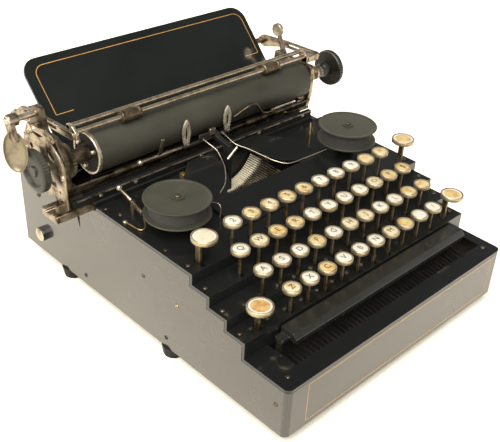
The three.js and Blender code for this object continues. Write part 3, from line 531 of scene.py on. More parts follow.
spoon_nickel = plated("spoon_nickel", (0.24, 0.20, 0.13), (0.15, 0.115, 0.065), 0.42, 0.25, 0.6)
loop_nickel = plated("loop_nickel", (0.64, 0.56, 0.42), (0.36, 0.30, 0.20), 0.26, 0.25, 0.78)
# The comb's near white plated colour is a painted highlight on the teeth of the segment.
comb_highlight_nickel = plated("comb_highlight_nickel", (0.95, 0.87, 0.63), (0.72, 0.62, 0.42), 0.3, 0.1, 0.35)
# A darker copy of the nickel: partly real tarnish, and partly painted shade on parts that sit back in
# shadow, such as the line ratchet and its hub.
tarnish_and_shade_nickel = plated("tarnish_and_shade_nickel", (0.15, 0.115, 0.072), (0.035, 0.024, 0.014), 0.42, 0.6)
rim_nickel = plated("rim_nickel", (0.44, 0.36, 0.23), (0.24, 0.16, 0.08), 0.34, 0.4, 0.75)
stem_nickel = plated("stem_nickel", (0.22, 0.165, 0.09), (0.07, 0.045, 0.02), 0.36, 0.6)
brass = plated("brass", (0.42, 0.29, 0.12), (0.18, 0.10, 0.04), 0.3, 0.4)
gold_line = satin("gold_line", (0.36, 0.19, 0.045), 0.5, 0.2, 0.3, 90.0, 0.3)
dark_steel = satin("dark_steel", (0.014, 0.012, 0.010), 0.45, 0.3)
black_iron = satin("black_iron", (0.0055, 0.0055, 0.005), 0.55, 0.0, shine=0.2)
rubber = satin("rubber", (0.025, 0.0235, 0.016), 0.5, 0.0, 0.3, 22.0, shine=0.32)
ebonite = satin("ebonite", (0.022, 0.021, 0.0155), 0.42, 0.0, 0.4, 60.0, shine=0.35)
glossy_ebonite = satin("glossy_ebonite", (0.009, 0.0085, 0.007), 0.3, 0.0, 0.4, 60.0, shine=0.4)
spool_paint = satin("spool_paint", (0.030, 0.029, 0.0195), 0.42, 0.0, 0.2, 40.0, shine=0.35)
ribbon_cloth = satin("ribbon_cloth", (0.019, 0.018, 0.0145), 0.85, 0.0, 0.5, 200.0)
ink = satin("ink", (0.03, 0.026, 0.022), 0.5)
# Cards by the letter that stands for each in the rows of keys
CARDS = {
    "w": card("white_card", (0.44, 0.42, 0.35), (0.38, 0.32, 0.20), 0.54),
    "c": card("cream_card", (0.42, 0.37, 0.24), (0.35, 0.24, 0.10), 0.48),
    "y": card("yellow_card", (0.40, 0.33, 0.16), (0.34, 0.21, 0.06), 0.46),
    "o": card("orange_card", (0.40, 0.305, 0.12), (0.33, 0.19, 0.06), 0.45),
    "a": card("amber_card", (0.38, 0.25, 0.09), (0.30, 0.13, 0.03), 0.45),
    "p": card("pearl_card", (0.42, 0.385, 0.28), (0.35, 0.27, 0.14), 0.5),
}


# The solids that stay as they are take a finish and softened edges.

def dress(node, material, edge):
    """Gives a solid its finish. Its faces are joined first, so that its edges can be rounded."""
    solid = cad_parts[node]
    solid.data.materials.clear()
    solid.data.materials.append(material)
    if edge:
        weld = solid.modifiers.new("weld", "WELD")
        weld.merge_threshold = weld_distance * MM
        soften(solid, edge, sharp_angle)


def dress_front():
    """The faces that look forward: the apron takes a lighter copy of the black enamel, a painted reflection
    of the floor before it, and the step faces keep the deck's darker one.
    """
    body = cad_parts["frame"]
    body.data.materials.append(apron_paint_lit_copy)
    body.data.materials.append(deck_paint)
    apron_back = (ORIGIN.y + apron_thickness) * MM
    forward_limit = -0.9
    for polygon in body.data.polygons:
        if (body.matrix_world.to_3x3() @ polygon.normal).y < forward_limit:
            on_apron = (body.matrix_world @ polygon.center).y < apron_back
            polygon.material_index = 1 if on_apron else 2


def dress_solids():
    """Rows hold a node, its finish, and the rounding of its edges."""
    finishes = (
        ("frame", side_paint_lit_copy, 1.2),
        ("foot_frame", black_iron, 0),
        ("keyboard_deck", deck_paint, 0.7),
        ("carriage_way", black_iron, 0.4),
        ("space_bar", bar_paint, 0.9),
    )
    for node, material, edge in finishes:
        dress(node, material, edge)
    dress_front()


# Keyboard

# Row name, quarter steps of stagger, setback from the riser, lift over the tread, card colours, legends
KEY_ROWS = [
    ("bottom", 3, 4.9, 22.5, "cwowwwcoww", "ZXCVBNM,./"),
    ("home", 1, 6.5, 22.7, "wwwywccwwyy", "ASDFGHJKL;'"),
    ("upper", 0, 7.1, 22.8, "wcoywwwwcyo", "QWERTYUIOP$"),
    ("number", 2, 7.5, 24, "wycyywwwyy", "23456789-="),
]


def tread_z(row):
    return apron_height + first_rise + row * row_rise


def riser_y(row):
    return first_riser_y + row * row_depth


def lever_z(y):
    return lever_tip_z + (y - lever_tip_y) * (fulcrum_z - lever_tip_z) / (fulcrum_y - lever_tip_y)


def key_lever(fit, name, x, stem_y):
    """A flat steel lever from the comb to a saddle over the fulcrum rod."""
    half_thickness = 0.8
    tip_half = 1.9
    beam_half = 2.6
    boss = 5.4
    saddle = 2.35
    waist = 1.4
    outline = [
        (lever_tip_y, lever_tip_z - tip_half), (stem_y, lever_z(stem_y) - beam_half),
        (fulcrum_y - boss, fulcrum_z - beam_half - waist), (fulcrum_y - boss, fulcrum_z - boss),
        (fulcrum_y - saddle, fulcrum_z - boss), (fulcrum_y - saddle, fulcrum_z + saddle),
        (fulcrum_y + saddle, fulcrum_z + saddle), (fulcrum_y + saddle, fulcrum_z - boss),
        (fulcrum_y + boss, fulcrum_z - boss), (fulcrum_y + boss, fulcrum_z + boss),
        (fulcrum_y - boss, fulcrum_z + boss), (stem_y, lever_z(stem_y) + beam_half),
        (lever_tip_y, lever_tip_z + tip_half),
    ]
    fit(name + "_lever", prism(outline, "x", *around(x, half_thickness)), dark_steel)


def key_stem(fit, name, x, y, cap_bottom, half_thickness, half_depth):
    edge = 0.25
    shape = block(around(x, half_thickness), around(y, half_depth), (lever_z(y), cap_bottom))
    fit(name + "_stem", shape, stem_nickel, edge)


def key_ring(fit, name, place, top, radius):
    """A pressed nickel cup whose rim is rolled over the glass."""
    bottom = top - key_thickness
    rim = 1.25
    roll = 0.55
    recess = 1.2
    floor = top - recess
    hub = 2.6
    hub_drop = 1.2
    smooth_angle = 50
    profile = [
        (0, bottom - hub_drop), (hub, bottom - hub_drop), (hub, bottom), (radius - roll, bottom),
        (radius, bottom + roll), (radius, top - roll), (radius - roll * 0.3, top - roll * 0.3),
        (radius - roll, top), (radius - rim, top - roll * 0.5), (radius - rim, floor), (0, floor),
    ]
    return fit(name + "_ring", lathe(profile, "z", place, round_sides), rim_nickel, 0, smooth_angle)


def key_card(fit, name, place, top, radius, colour):
    """The card under its glass, a little domed."""
    rim = 1.3
    recess = 1.2
    inner = radius - rim
    floor = top - recess
    edge_drop = 0.75
    crown = 0.15
    profile = [
        (0, floor), (inner, floor), (inner, top - edge_drop), (inner * 0.7, top - edge_drop * 0.5),
        (inner * 0.35, top - crown * 1.4), (0, top - crown),
    ]
    fit(name + "_card", lathe(profile, "z", place, round_sides), CARDS[colour])


def letter(legend, x, y, z):
    """A letter as a thin raised shape."""
    curve = bpy.data.curves.new("letter", "FONT")
    curve.body = legend
    curve.size = 7.2
    curve.align_x = "CENTER"
    curve.align_y = "CENTER"
    curve.extrude = 0.03
    curve.offset = -0.024
    points, faces = curve_shape(curve, "z", 0)
    return [(a + x, b + y, c + z) for a, b, c in points], faces


def character_key(name, x, y, top, colour, legend):
    fit = partial(piece, body=name, slot="key_nickel")
    stem_half_thickness = 0.8
    stem_half_depth = 1.2
    letter_drop = 0.1
    key_lever(fit, name, x, y)
    key_stem(fit, name, x, y, top - key_thickness, stem_half_thickness, stem_half_depth)
    ring = key_ring(fit, name, (x, y), top, key_radius)
    key_card(fit, name, (x, y), top, key_radius, colour)
    fit(name + "_letter", letter(legend, x, y, top - letter_drop), ink)
    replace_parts(ring, name)


def keyboard():
    for row, (row_name, quarters, setback, lift, colours, legends) in enumerate(KEY_ROWS):
        for number, (colour, legend) in enumerate(zip(colours, legends)):
            name = f"key_{row_name}_{number + 1}"
            x = key_pitch * (first_key_share + number + quarters * stagger_share)
            character_key(name, x, riser_y(row) + setback, tread_z(row) + lift, colour, legend)


def big_key(fit, name, cap_x, lever_x, stem_y, top, colour):
    """A wide key on a stout stem, whose card has a white border."""
    stem_half_thickness = 1.1
    stem_half_depth = 2.4
    key_lever(fit, name, lever_x, stem_y)
    key_stem(fit, name, lever_x, stem_y, top - key_thickness, stem_half_thickness, stem_half_depth)
    place = (cap_x, stem_y - big_cap_forward)
    ring = key_ring(fit, name, place, top, big_key_radius)
    key_card(fit, name, place, top, big_key_radius, colour)
    outer_inset = 1.4
    inner_inset = 2.9
    recess = 0.9
    outer_drop = 0.62
    inner_drop = 0.46
    outer = big_key_radius - outer_inset
    inner = big_key_radius - inner_inset
    floor = top - recess
    border = [
        (outer, floor), (outer, top - outer_drop), (inner, top - inner_drop), (inner, floor),
        (outer, floor),
    ]
    fit(name + "_card_rim", lathe(border, "z", place, round_sides), CARDS["w"])
    return ring


def shift_keys():
    """Two keys whose levers share a rod across the machine."""
    fit = partial(piece, body="shift_keys", slot="key_nickel")
    setback = 7.5
    stem_y = riser_y(0) + setback
    lever_x = 112.6
    rod_y = 205
    rod_z = 30
    rod_radius = 2.5
    drop_half = 1.1
    left_cap_x = -113.6
    left_top = 81.7
    right_cap_x = 116.8
    right_top = 84.3
    left = big_key(fit, "left_shift", left_cap_x, -lever_x, stem_y, left_top, "a")
    big_key(fit, "right_shift", right_cap_x, lever_x, stem_y, right_top, "o")
    rod_path = [(-lever_x, rod_y, rod_z), (lever_x, rod_y, rod_z)]
    fit("shift_rod", tube(rod_path, rod_radius, tiny_sides), dark_steel)
    for side, label in sides_label:
        drop = block(around(side * lever_x, drop_half), around(rod_y, rod_radius), (rod_z, lever_z(rod_y)))
        fit(label + "_shift_drop", drop, dark_steel)
    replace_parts(left, "shift_keys")


def outer_keys():
    """The margin key at the left and the back space key at the right of the deck."""
    setback = 9
    stem_y = riser_y(3) + setback
    lever_x = 118.4
    rows = (
        ("margin", "margin_key", -115.2, -lever_x, 111, "p"),
        ("backspace", "backspace_key", 115.2, lever_x, 114.5, "o"),
    )
    for name, node, cap_x, x, top, colour in rows:
        fit = partial(piece, body=node, slot="key_nickel")
        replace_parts(big_key(fit, name, cap_x, x, stem_y, top, colour), node)


# Ribbon spools

def spool(side, node):
    """Two flanges on a hub, with the ribbon wound between them."""
    fit = partial(piece, body=node, slot="spool_enamel")
    place = (side * spool_x, spool_y)
    height = 14.5
    hub_gap = 0.4
    collar_rise = 0.2
    bottom = spool_top - height
    flange = 1.2
    rim_roll = 0.7
    recess = 0.9
    step_radius = 22.4
    bore = 2.9
    hub_radius = 8
    hub_bottom = deck_top + hub_gap
    ribbon_radius = 22.6
    collar_radius = 5.2
    collar_top = spool_top + collar_rise
    floor = spool_top - recess * 0.7
    top_profile = [
        (bore, spool_top - flange - recess), (spool_radius - rim_roll, spool_top - flange),
        (spool_radius, spool_top - flange + rim_roll * 0.6),
        (spool_radius, spool_top - rim_roll * 0.4), (spool_radius - rim_roll, spool_top),
        (spool_radius - rim_roll * 2.4, spool_top - rim_roll * 0.3),
        (spool_radius - rim_roll * 3.4, spool_top - recess * 0.8), (step_radius, floor),
        (collar_radius, floor), (collar_radius, collar_top), (bore, collar_top),
    ]
    bottom_profile = [
        (bore, hub_bottom), (hub_radius, hub_bottom), (hub_radius, bottom), (spool_radius, bottom),
        (spool_radius, bottom + flange), (bore, bottom + flange),
    ]
    made = fit(node + "_top_flange", lathe(top_profile, "z", place, fine_sides), spool_paint)
    fit(node + "_bottom_flange", lathe(bottom_profile, "z", place, fine_sides), spool_paint, faint_edge)
    turns = 9
    ribbon_step = 0.25
    ribbon_low = bottom + flange
    ribbon_high = spool_top - flange - recess
    winding = [
        (ribbon_radius - ribbon_step * (layer % 2), ribbon_low + (ribbon_high - ribbon_low) * layer / turns)
        for layer in range(turns + 1)
    ]
    profile = [(bore, ribbon_low), *winding, (bore, ribbon_high)]
    fit(node + "_winding", lathe(profile, "z", place, fine_sides), ribbon_cloth)
    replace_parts(made, node)


def spindle_nut(side, label):
    radius = 2.6
    sink = 0.8
    rise = 1.6
    sides = 32
    low = spool_top - sink
    top = spool_top + rise
    rounding = 0.5
    profile = [(0, low), (radius, low), (radius, top - rounding), (radius - rounding, top), (0, top)]
    on_deck(label + "_spindle_nut", lathe(profile, "z", (side * spool_x, spool_y), sides), tarnish_and_shade_nickel)


# Platen with its knobs

platen_centre = (platen_y, platen_z)
ring_length = 3
platen_edge = 0.5
ratchet_right = -136
hub_right = platen_left + platen_edge * 2


def platen():
    """The rubber roller on its axle, with a bright ring and a dark face at the left end."""
    start = platen_left + ring_length
    edge = platen_edge
    ring_radius = 18
    bore = ring_radius - edge * 4
    roller = [
        (0, start), (platen_radius - edge, start), (platen_radius, start + edge),
        (platen_radius, platen_right - edge), (platen_radius - edge, platen_right), (0, platen_right),
    ]
    ring = [
        (bore, start), (bore, platen_left + edge), (ring_radius - edge * 3, platen_left),
        (ring_radius - edge, platen_left), (ring_radius, platen_left + edge), (ring_radius, start),
        (bore, start),
    ]
    roller_sides = 128
    made = on_platen("platen_roller", lathe(roller, "x", platen_centre, roller_sides), rubber)
    on_platen("platen_left_ring", lathe(ring, "x", platen_centre, fine_sides), bright_nickel)
    face = pin(ring_radius - edge * 4.2, hub_right, start, platen_centre, fine_sides)
    on_platen("platen_left_face", face, black_iron)
    axle_radius = 3.9
    axle_left = -162
    axle_right = 168
    on_platen("platen_axle", pin(axle_radius, axle_left, axle_right, platen_centre, axle_sides), nickel)
    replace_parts(made, "platen")


def line_ratchet():
    """The toothed wheel that turns the platen by lines, its hub, and the studs in the platen's end."""
    left = -139
    radius = 13.6
    teeth = 34
    tooth_share = 0.045
    hub_radius = 6.2
    profile = [
        (0, left, False), (radius, left, True), (radius, ratchet_right, True),
        (0, ratchet_right, False),
    ]
    # The wheel and its hub take the darker nickel: painted shade for their place just inside the left end
    # plate.
    on_platen("line_ratchet", wave_lathe(profile, "x", platen_centre, teeth, tooth_share), tarnish_and_shade_nickel)
    hub = pin(hub_radius, ratchet_right, hub_right, platen_centre, round_sides)
    on_platen("ratchet_hub", hub, tarnish_and_shade_nickel, plate_edge)
    reach = 11.2
    stud_radius = 1.6
    stud_length = 3.2
    shoulder_length = 2.6
    stud_left = hub_right - stud_length
    first_angle = 0.6
    studs = 3
    stud = [
        (0, stud_left), (stud_radius * 0.8, stud_left), (stud_radius, hub_right - shoulder_length),
        (stud_radius, hub_right), (0, hub_right),
    ]
    for index in range(studs):
        angle = math.tau * index / studs + first_angle
        spot = (platen_y + reach * math.cos(angle), platen_z + reach * math.sin(angle))
        on_platen(f"platen_end_stud_{index + 1}", lathe(stud, "x", spot, tiny_sides), bright_nickel)


def platen_knob(label, face, out, radius, length, finish):
    """A knurled knob with a dished face and a small boss in the dish."""
    knurls = 44
    knurl_share = 0.014
    rounding = 0.9
    dish_depth = 1.9
    dish_radius = 12
    boss_radius = 4.4
    boss_height = 1.4
    inner = face - out * length
    dish = face - out * dish_depth
    boss_face = dish + out * boss_height
    profile = [
        (0, dish, False), (dish_radius - rounding, dish, False),
        (dish_radius, face - out * rounding, False), (dish_radius + rounding, face, False),
        (radius - rounding * 2, face, False), (radius - rounding, face - out * rounding * 0.4, False),
        (radius, face - out * rounding, True), (radius, inner + out * rounding, True),
        (radius - rounding, inner, False), (0, inner, False),
    ]
    boss = [(0, dish), (boss_radius, dish), (boss_radius - rounding * 0.5, boss_face), (0, boss_face)]
    on_platen(label + "_platen_knob", wave_lathe(profile, "x", platen_centre, knurls, knurl_share), finish)
    on_platen(label + "_knob_boss", lathe(boss, "x", platen_centre, axle_sides), finish)


def platen_knobs():
    """The two knobs: side, face, way out, radius, length and finish. The right one has a long neck."""
    knobs = (
        ("left", -167.5, -1, 17, 7, ebonite),
        ("right", 173, 1, 17.4, 6, glossy_ebonite),
    )
    for label, face, out, radius, length, finish in knobs:
        platen_knob(label, face, out, radius, length, finish)
    wide = 6.8
    waist = 6
    left = 147
    joint = 155
    right = 164
    neck = [(0, left), (wide, left), (wide, 151), (waist, 152), (waist, joint), (0, joint)]
    collar = [(0, joint), (waist, joint), (waist, 158), (wide, 159), (wide, right), (0, right)]
    turned(on_platen, [
        ("right_knob_neck", neck, platen_centre, 48, bright_nickel),
        ("right_knob_collar", collar, platen_centre, 48, glossy_ebonite),
    ])


# Type basket

def radial_block(angle, half_thickness, low_reach, high_reach, front, back):
    """A small block in the fan of the basket, whose reach is measured from the fan's centre line."""
    outline = [
        (
            reach * math.sin(angle) + lateral * math.cos(angle),
            basket_centre_z - reach * math.cos(angle) + lateral * math.sin(angle),
        )
        for lateral, reach in (
            (-half_thickness, low_reach),
            (-half_thickness, high_reach),
            (half_thickness, high_reach),
            (half_thickness, low_reach),
        )
    ]
    return prism(outline, "y", front, back)


def bar_angle(bar):
    return (bar / (typebar_count - 1) * 2 - 1) * typebar_span


def typebars():
    """Flat bars fanned round the basket, each with a wider type slug at its front end."""
    slug_front = 140
    slug_back = 145
    heel = 203.4
    shank_half = 0.45
    slug_half = 0.75
    shank_reach_half = 1.3
    slug_reach_half = 3
    shank_reach = around(basket_radius, shank_reach_half)
    slug_reach = around(basket_radius, slug_reach_half)
    for bar in range(typebar_count):
        angle = bar_angle(bar)
        shank = radial_block(angle, shank_half, *shank_reach, slug_back, heel)
        slug = radial_block(angle, slug_half, *slug_reach, slug_front, slug_back)
        on_basket(f"typebar_{bar + 1}", merged(shank, slug), nickel)


def segment():
    """The arc that carries the typebars: a rib round the back and a tooth on each side of a bar."""
    front = 202
    back = 214
    rib_front = 203
    tooth_top = 38.5
    slot_floor = 41.6
    tooth_foot = 42.1
    rib_foot = 43.1
    tooth_half = 0.55
    steps = 84
    outline = band((0, basket_centre_z), slot_floor, rib_foot, -basket_half_angle, basket_half_angle, steps)
    # The rib is black iron so that the slots between the teeth read dark: painted shade in the slots.
    made = on_basket("segment_rib", prism(outline, "y", rib_front, back), black_iron)
    teeth = []
    for tooth in range(typebar_count + 1):
        angle = (bar_angle(tooth - 1) + bar_angle(tooth)) / 2
        teeth.append(radial_block(angle, tooth_half, tooth_top, tooth_foot, front, back))
    # The teeth take the near white comb colour: painted highlight.
    on_basket("segment_comb", merged(*teeth), comb_highlight_nickel)
    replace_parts(made, "type_basket")


def ribbon_loop(label, x):
    """A pointed loop that holds the ribbon up before the platen, on a small knuckle."""
    foot = 105.5
    front = 225
    back = 226.4
    half_outline = [(2.2, 0), (3.2, 3.5), (4.5, 10), (4.3, 16), (2.8, 21), (0.6, 24.3)]
    half_hole = [(0.6, 6), (1.1, 10), (1.0, 14)]
    hole_top = 17
    outline = [(x - a, foot + b) for a, b in half_outline]
    outline += [(x + a, foot + b) for a, b in half_outline[::-1]]
    hole = [(x - a, foot + b) for a, b in half_hole] + [(x, foot + hole_top)]
    hole += [(x + a, foot + b) for a, b in half_hole[::-1]]
    on_basket(label + "_ribbon_loop", plate(outline, [hole], "y", front, back), loop_nickel)
    half_knuckle = [(0, -2), (1.7, -1.6), (2.1, 0), (1.7, 1.6), (0, 2)]
    knuckle = [(radius, x + along) for radius, along in half_knuckle]
    knuckle_centre = (225.2, 106.5)
    on_basket(label + "_loop_knuckle", lathe(knuckle, "x", knuckle_centre, small_sides), nickel)


def ribbon_guide():
    """The post over the segment with its yoke, the type fork, and the dark back of the basket."""
    post = [
        (204, basket_floor), (212, basket_floor), (212, 101), (226.5, 104), (226.5, 110), (223.5, 110),
        (220.5, 107), (204, 104),
    ]
    post_half = 2.4
    on_basket("guide_post", prism(post, "x", -post_half, post_half), black_iron, clean_edge)
    blocks(on_basket, [
        ("segment_sole", (-19, 19), (189.5, 212), (basket_floor, 59.3), black_iron, 0.4),
        ("guide_yoke", (-36, 20), (223.6, 226.4), (104.2, 106.8), dark_steel, 0.5),
        ("basket_back", (-42, 42), (215.6, 216.8), (basket_floor, 84.2), black_iron, 0.3),
        ("type_fork", (-7.4, -1.2), (222.6, 225.4), (108.4, 114.6), nickel, 0.6),
        ("type_fork_bar", (-19.5, -6), (223, 225), (107.4, 112), dark_steel, 0.5),
    ])
    link = [(-4.6, 202.8, 93), (0.5, 202.8, 97.2), (6.2, 202.8, 101.3)]
    wires(on_basket, [("throat_link", link, 4, 1.1, 12, bright_nickel)])
    for label, x in (("left", -31.7), ("right", 14.8)):
        ribbon_loop(label, x)


# Paper table and painted lines

def on_table(x, along, lift):
    """A point on the paper table: along runs up the slope from its foot, lift stands off the sheet."""
    y = table_foot_y + along * math.cos(table_slope) - lift * math.sin(table_slope)
    z = table_foot_z + along * math.sin(table_slope) + lift * math.cos(table_slope)
    return x, y, z


def paper_table():
    """A smooth sheet with rounded top corners and a foot that curls towards the platen."""
    left = -119.5
    right = 129
    length = 76.3
    corner = 15
    thickness = 1.6
    sheet_edge = 0.45
    smooth_angle = 30
    outline = [(left, 0), *round_top(left, right, length, corner), (right, 0)]
    rings = [[on_table(x, along, lift) for x, along in outline] for lift in (0, -thickness)]
    made = on_table_sheet("table_sheet", rings_to_shape(rings), table_paint, sheet_edge, smooth_angle)
    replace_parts(made, "paper_table")
    lap = 1.5
    curl_y = 272.5
    curl = [
        (curl_y, 103.2),
        on_table(0, 0, -thickness)[1:],
        on_table(0, lap, -thickness)[1:],
        on_table(0, lap, 0)[1:],
        (table_foot_y, table_foot_z),
        (curl_y, 104.8),
    ]
    on_table_sheet("table_curl", prism(curl, "x", left, right), table_paint, fine_edge)


def line_shape(path, width, to_space):
    """A painted line of even width along a path, as thin as paint."""
    base_lift = -0.05
    top_lift = 0.045
    path = [Vector(point) for point in path]
    rings = []
    for index, point in enumerate(path):
        way = (path[min(index + 1, len(path) - 1)] - path[max(index - 1, 0)]).normalized()
        across = Vector((-way.y, way.x)) * width / 2
        left = point + across
        right = point - across
        corners = ((left, base_lift), (right, base_lift), (right, top_lift), (left, top_lift))
        rings.append([to_space(place.x, place.y, lift) for place, lift in corners])
    return rings_to_shape(rings)


def table_line():
    """A gold line inside the paper table's edge, which ends in a short foot at each side."""
    left = -109.3
    right = 123.3
    low = 24.8
    high = 69
    radius = 9
    corner = 0.3
    foot = 17
    width = 0.6
    path = [
        (left + foot, low), (left + corner, low), (left, low + corner),
        *round_top(left, right, high, radius), (right, low + corner), (right - corner, low),
        (right - foot, low),
    ]
    on_table_sheet("table_line", line_shape(path, width, on_table), gold_line)


def apron_lines():
    """Four gold lines that frame the apron."""
    left = -111
    right = 119
    low = 4.5
    high = 40
    width = 0.7
    corners = [(left, low), (left, high), (right, high), (right, low)]

    def to_front(x, z, lift):
        return x, -lift, z

    for index, end in enumerate(corners):
        path = [end, corners[(index + 1) % len(corners)]]
        on_body(f"apron_line_{index + 1}", line_shape(path, width, to_front), gold_line)


# Paper bail, levers and drum

def bail_roller(label, x, centre):
    """A small roller with a raised rim at each end."""
    half = 9.5
    bore = 2.05
    side_radius = 4.4
    rim_radius = 5.1
    waist_radius = 4.7
    rim_start = 0.7
    rim_end = 2.2
    waist_start = 2.6
    profile = [
        (bore, x - half), (side_radius, x - half), (rim_radius, x - half + rim_start),
        (rim_radius, x - half + rim_end), (waist_radius, x - half + waist_start),
        (waist_radius, x + half - waist_start), (rim_radius, x + half - rim_end),
        (rim_radius, x + half - rim_start), (side_radius, x + half), (bore, x + half),
    ]
    on_bail(label + "_bail_roller", lathe(profile, "x", centre, round_sides), tarnish_and_shade_nickel)


def paper_bail():
    """Two rods between two arms, with two rollers on the front rod."""
    left = -131
    right = 145
    block_left = 128
    rod_radius = 2
    rod_sides = 28
    front_rod = (242, 142.4)
    back_rod = (248.5, 145.2)
    arm_half = 2
    head_thickness = 3
    for label, (y, z) in (("front", front_rod), ("back", back_rod)):
        shape = tube([(left, y, z), (block_left + head_thickness, y, z)], rod_radius, rod_sides)
        made = on_bail(label + "_bail_rod", shape, rod_nickel)
    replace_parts(made, "paper_bail")
    arm = [(239, 137), (283, 135), (313, 126.2), (322, 132), (316, 138), (283, 141.1), (239, 143.1)]
    slot_corners = [(262, 137.7), (280, 136.9), (280, 139.6), (262, 140.2)]
    slot_rounding = 1.2
    slot_steps = 3
    arm_rounding = 3
    head_rounding = 1.4
    head_steps = 4
    holes = bores([(3.35, small_sides, (316, 132))]) + [rounded(slot_corners, slot_rounding, slot_steps)]
    head = [(238, 136.5), (244, 136.5), (251, 143), (251, 147.4), (244, 147.4), (238, 142.8)]
    for label, arm_x, head_x in (("left", left, left), ("right", right, block_left)):
        arm_outline = rounded(arm, arm_rounding)
        arm_shape = plate(arm_outline, holes, "x", *around(arm_x, arm_half), plate_edge)
        on_bail(label + "_bail_arm", arm_shape, nickel)
        head_outline = rounded(head, head_rounding, head_steps)
        head_shape = plate(head_outline, [], "x", head_x, head_x + head_thickness, plate_edge)
        on_bail(label + "_bail_head", head_shape, bright_nickel)
    blocks(on_bail, [("bail_block", (block_left, right), (238, 246), (136.5, 142.8), nickel, 0.7)])
    for label, x in (("left", -77), ("right", 82)):
        bail_roller(label, x, front_rod)


def return_spoon():
    """The cupped thumb plate of the return lever: an outer bowl and an inner one in a single shell."""
    place = Vector((-175.5, 251, 137))
    turn = 42
    spin = Matrix.Rotation(math.radians(turn), 3, "Z")
    thickness = 1.5
    dish = 4
    half_breadth = 9.3
    half_height = 17.5
    steps = 12
    least_spread = 0.002
    rings = []
    for depth, shrink, order in (
        (dish + thickness, 0, range(steps + 1)),
        (dish, thickness / 2, reversed(range(steps + 1))),
    ):
        for step in order:
            angle = step / steps * math.pi / 2
            spread = max(math.sin(angle), least_spread)
            wide = (half_breadth - shrink) * spread
            tall = (half_height - shrink) * spread
            rings.append([
                tuple(spin @ Vector((depth * math.cos(angle), wide * a, tall * b)) + place)
                for a, b in circle(1, round_sides)
            ])
    return on_return("return_spoon", rings_to_shape(rings), spoon_nickel)


def return_lever():
    pivot_y, pivot_z = return_pivot
    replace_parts(return_spoon(), "return_lever")
    half = 5
    neck = [
        (pivot_y - half, pivot_z), (246.5, 145.75), (255.5, 145.75), (pivot_y + half, pivot_z),
        (pivot_y, pivot_z + half),
    ]
    bore_radius = 2.9
    neck_left = -176.6
    neck_right = -172.6
    rounding = 2.5
    rounding_steps = 4
    bore = circle(bore_radius, small_sides, return_pivot)
    neck_outline = rounded(neck, rounding, rounding_steps)
    shape = plate(neck_outline, [bore], "x", neck_left, neck_right, plate_edge)
    on_return("return_neck", shape, nickel)
    hub = [(2.85, -176), (4.4, -176), (5, -175.4), (5, -168.6), (4.4, -168), (2.85, -168), (2.85, -176)]
    turned(on_return, [("return_hub", hub, return_pivot, 40, nickel)])


def release_lever():
    """A flat blade with a round thumb disc on top."""
    pivot_y, pivot_z = release_pivot
    half = 3
    top = (286.7, 153.4)
    top_half = 1.6
    outline = [
        (pivot_y - half, pivot_z - half), (pivot_y + half, pivot_z - half),
        (pivot_y + half, pivot_z + half), (top[0] + top_half, top[1]), (top[0] - top_half, top[1]),
        (pivot_y - half, pivot_z + half),
    ]
    bore_radius = 2.35
    blade_left = 134.8
    blade_right = 137.8
    rounding = 1.5
    rounding_steps = 4
    bore = circle(bore_radius, small_sides, release_pivot)
    blade_outline = rounded(outline, rounding, rounding_steps)
    shape = plate(blade_outline, [bore], "x", blade_left, blade_right, plate_edge)
    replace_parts(on_release("release_blade", shape, nickel), "release_lever")
    disc = [
        (0, 134.9), (5, 134.6), (6, 134.3), (6.4, 135.1), (6.4, 137.5), (6, 138.3), (5, 138),
        (0, 137.7),
    ]
    turned(on_release, [("release_disc", disc, top, 48, bright_nickel)])


def spring_drum():
    """The mainspring's case, with a rim at each end that guides the drawband."""
    profile = [
        (3.35, 302), (21, 302), (22.5, 303.2), (24, 303.2), (24, 304.8), (22.8, 305.2), (22.8, 313.6),
        (24, 314), (24, 316), (23, 317), (3.35, 317), (3.35, 302),
    ]
    centre = (-84, 44)
    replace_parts(on_drum("drum_case", lathe(profile, "y", centre, fine_sides), dark_steel), "spring_drum")


# Screws and small works

def screw(fit, name, where, direction, radius, material):
    """A domed screw head with a slot across it."""
    height = radius * 0.55
    sink = 0.3
    slot_half = radius * 0.14
    slot_depth = radius * 0.3
    base_top = height - slot_depth * 1.2
    rings = 6
    sweep = 14
    dome_angle = math.pi / 2 * 0.8
    halves = []
    for side in (-1, 1):
        points = []
        for step in range(sweep + 1):
            angle = math.pi * step / sweep
            reach = slot_half + (radius - slot_half) * math.sin(angle)
            points.append((radius * math.cos(angle), side * reach))
        levels = [[(a, b, -sink) for a, b in points]]
        for ring in range(rings + 1):
            share = math.cos(dome_angle * ring / rings)
            rise = math.sin(dome_angle * ring / rings) * height
            levels.append([(a * share, b * share if abs(b) > slot_half else b, rise) for a, b in points])
        halves.append(rings_to_shape(levels))
    base = prism(circle(radius * 0.98, small_sides), "z", -sink, base_top)
    spin = Vector(direction).to_track_quat("Z", "Y").to_matrix()
    fit(name, moved(merged(base, *halves), where, spin), material)


def deck_screws():
    """Screws along both edges of the deck: one to a tread, three on its top and one at the front."""
    radius = 1.9
    setback = 10.2
    front_y = 11.5
    front_x = 121
    top_places = (135.7, 184.2, 210)
    places = [(riser_y(row) + setback, tread_z(row)) for row in range(len(KEY_ROWS))]
    places += [(y, deck_top) for y in top_places]
    for side, label in sides_label:
        for index, (y, z) in enumerate(places):
            name = f"{label}_deck_screw_{index + 1}"
            screw(on_deck, name, (side * deck_edge_x, y, z), (0, 0, 1), radius, tarnish_and_shade_nickel)
        front = (side * front_x, front_y, apron_height)
        screw(on_deck, label + "_front_screw", front, (0, 0, 1), radius, tarnish_and_shade_nickel)


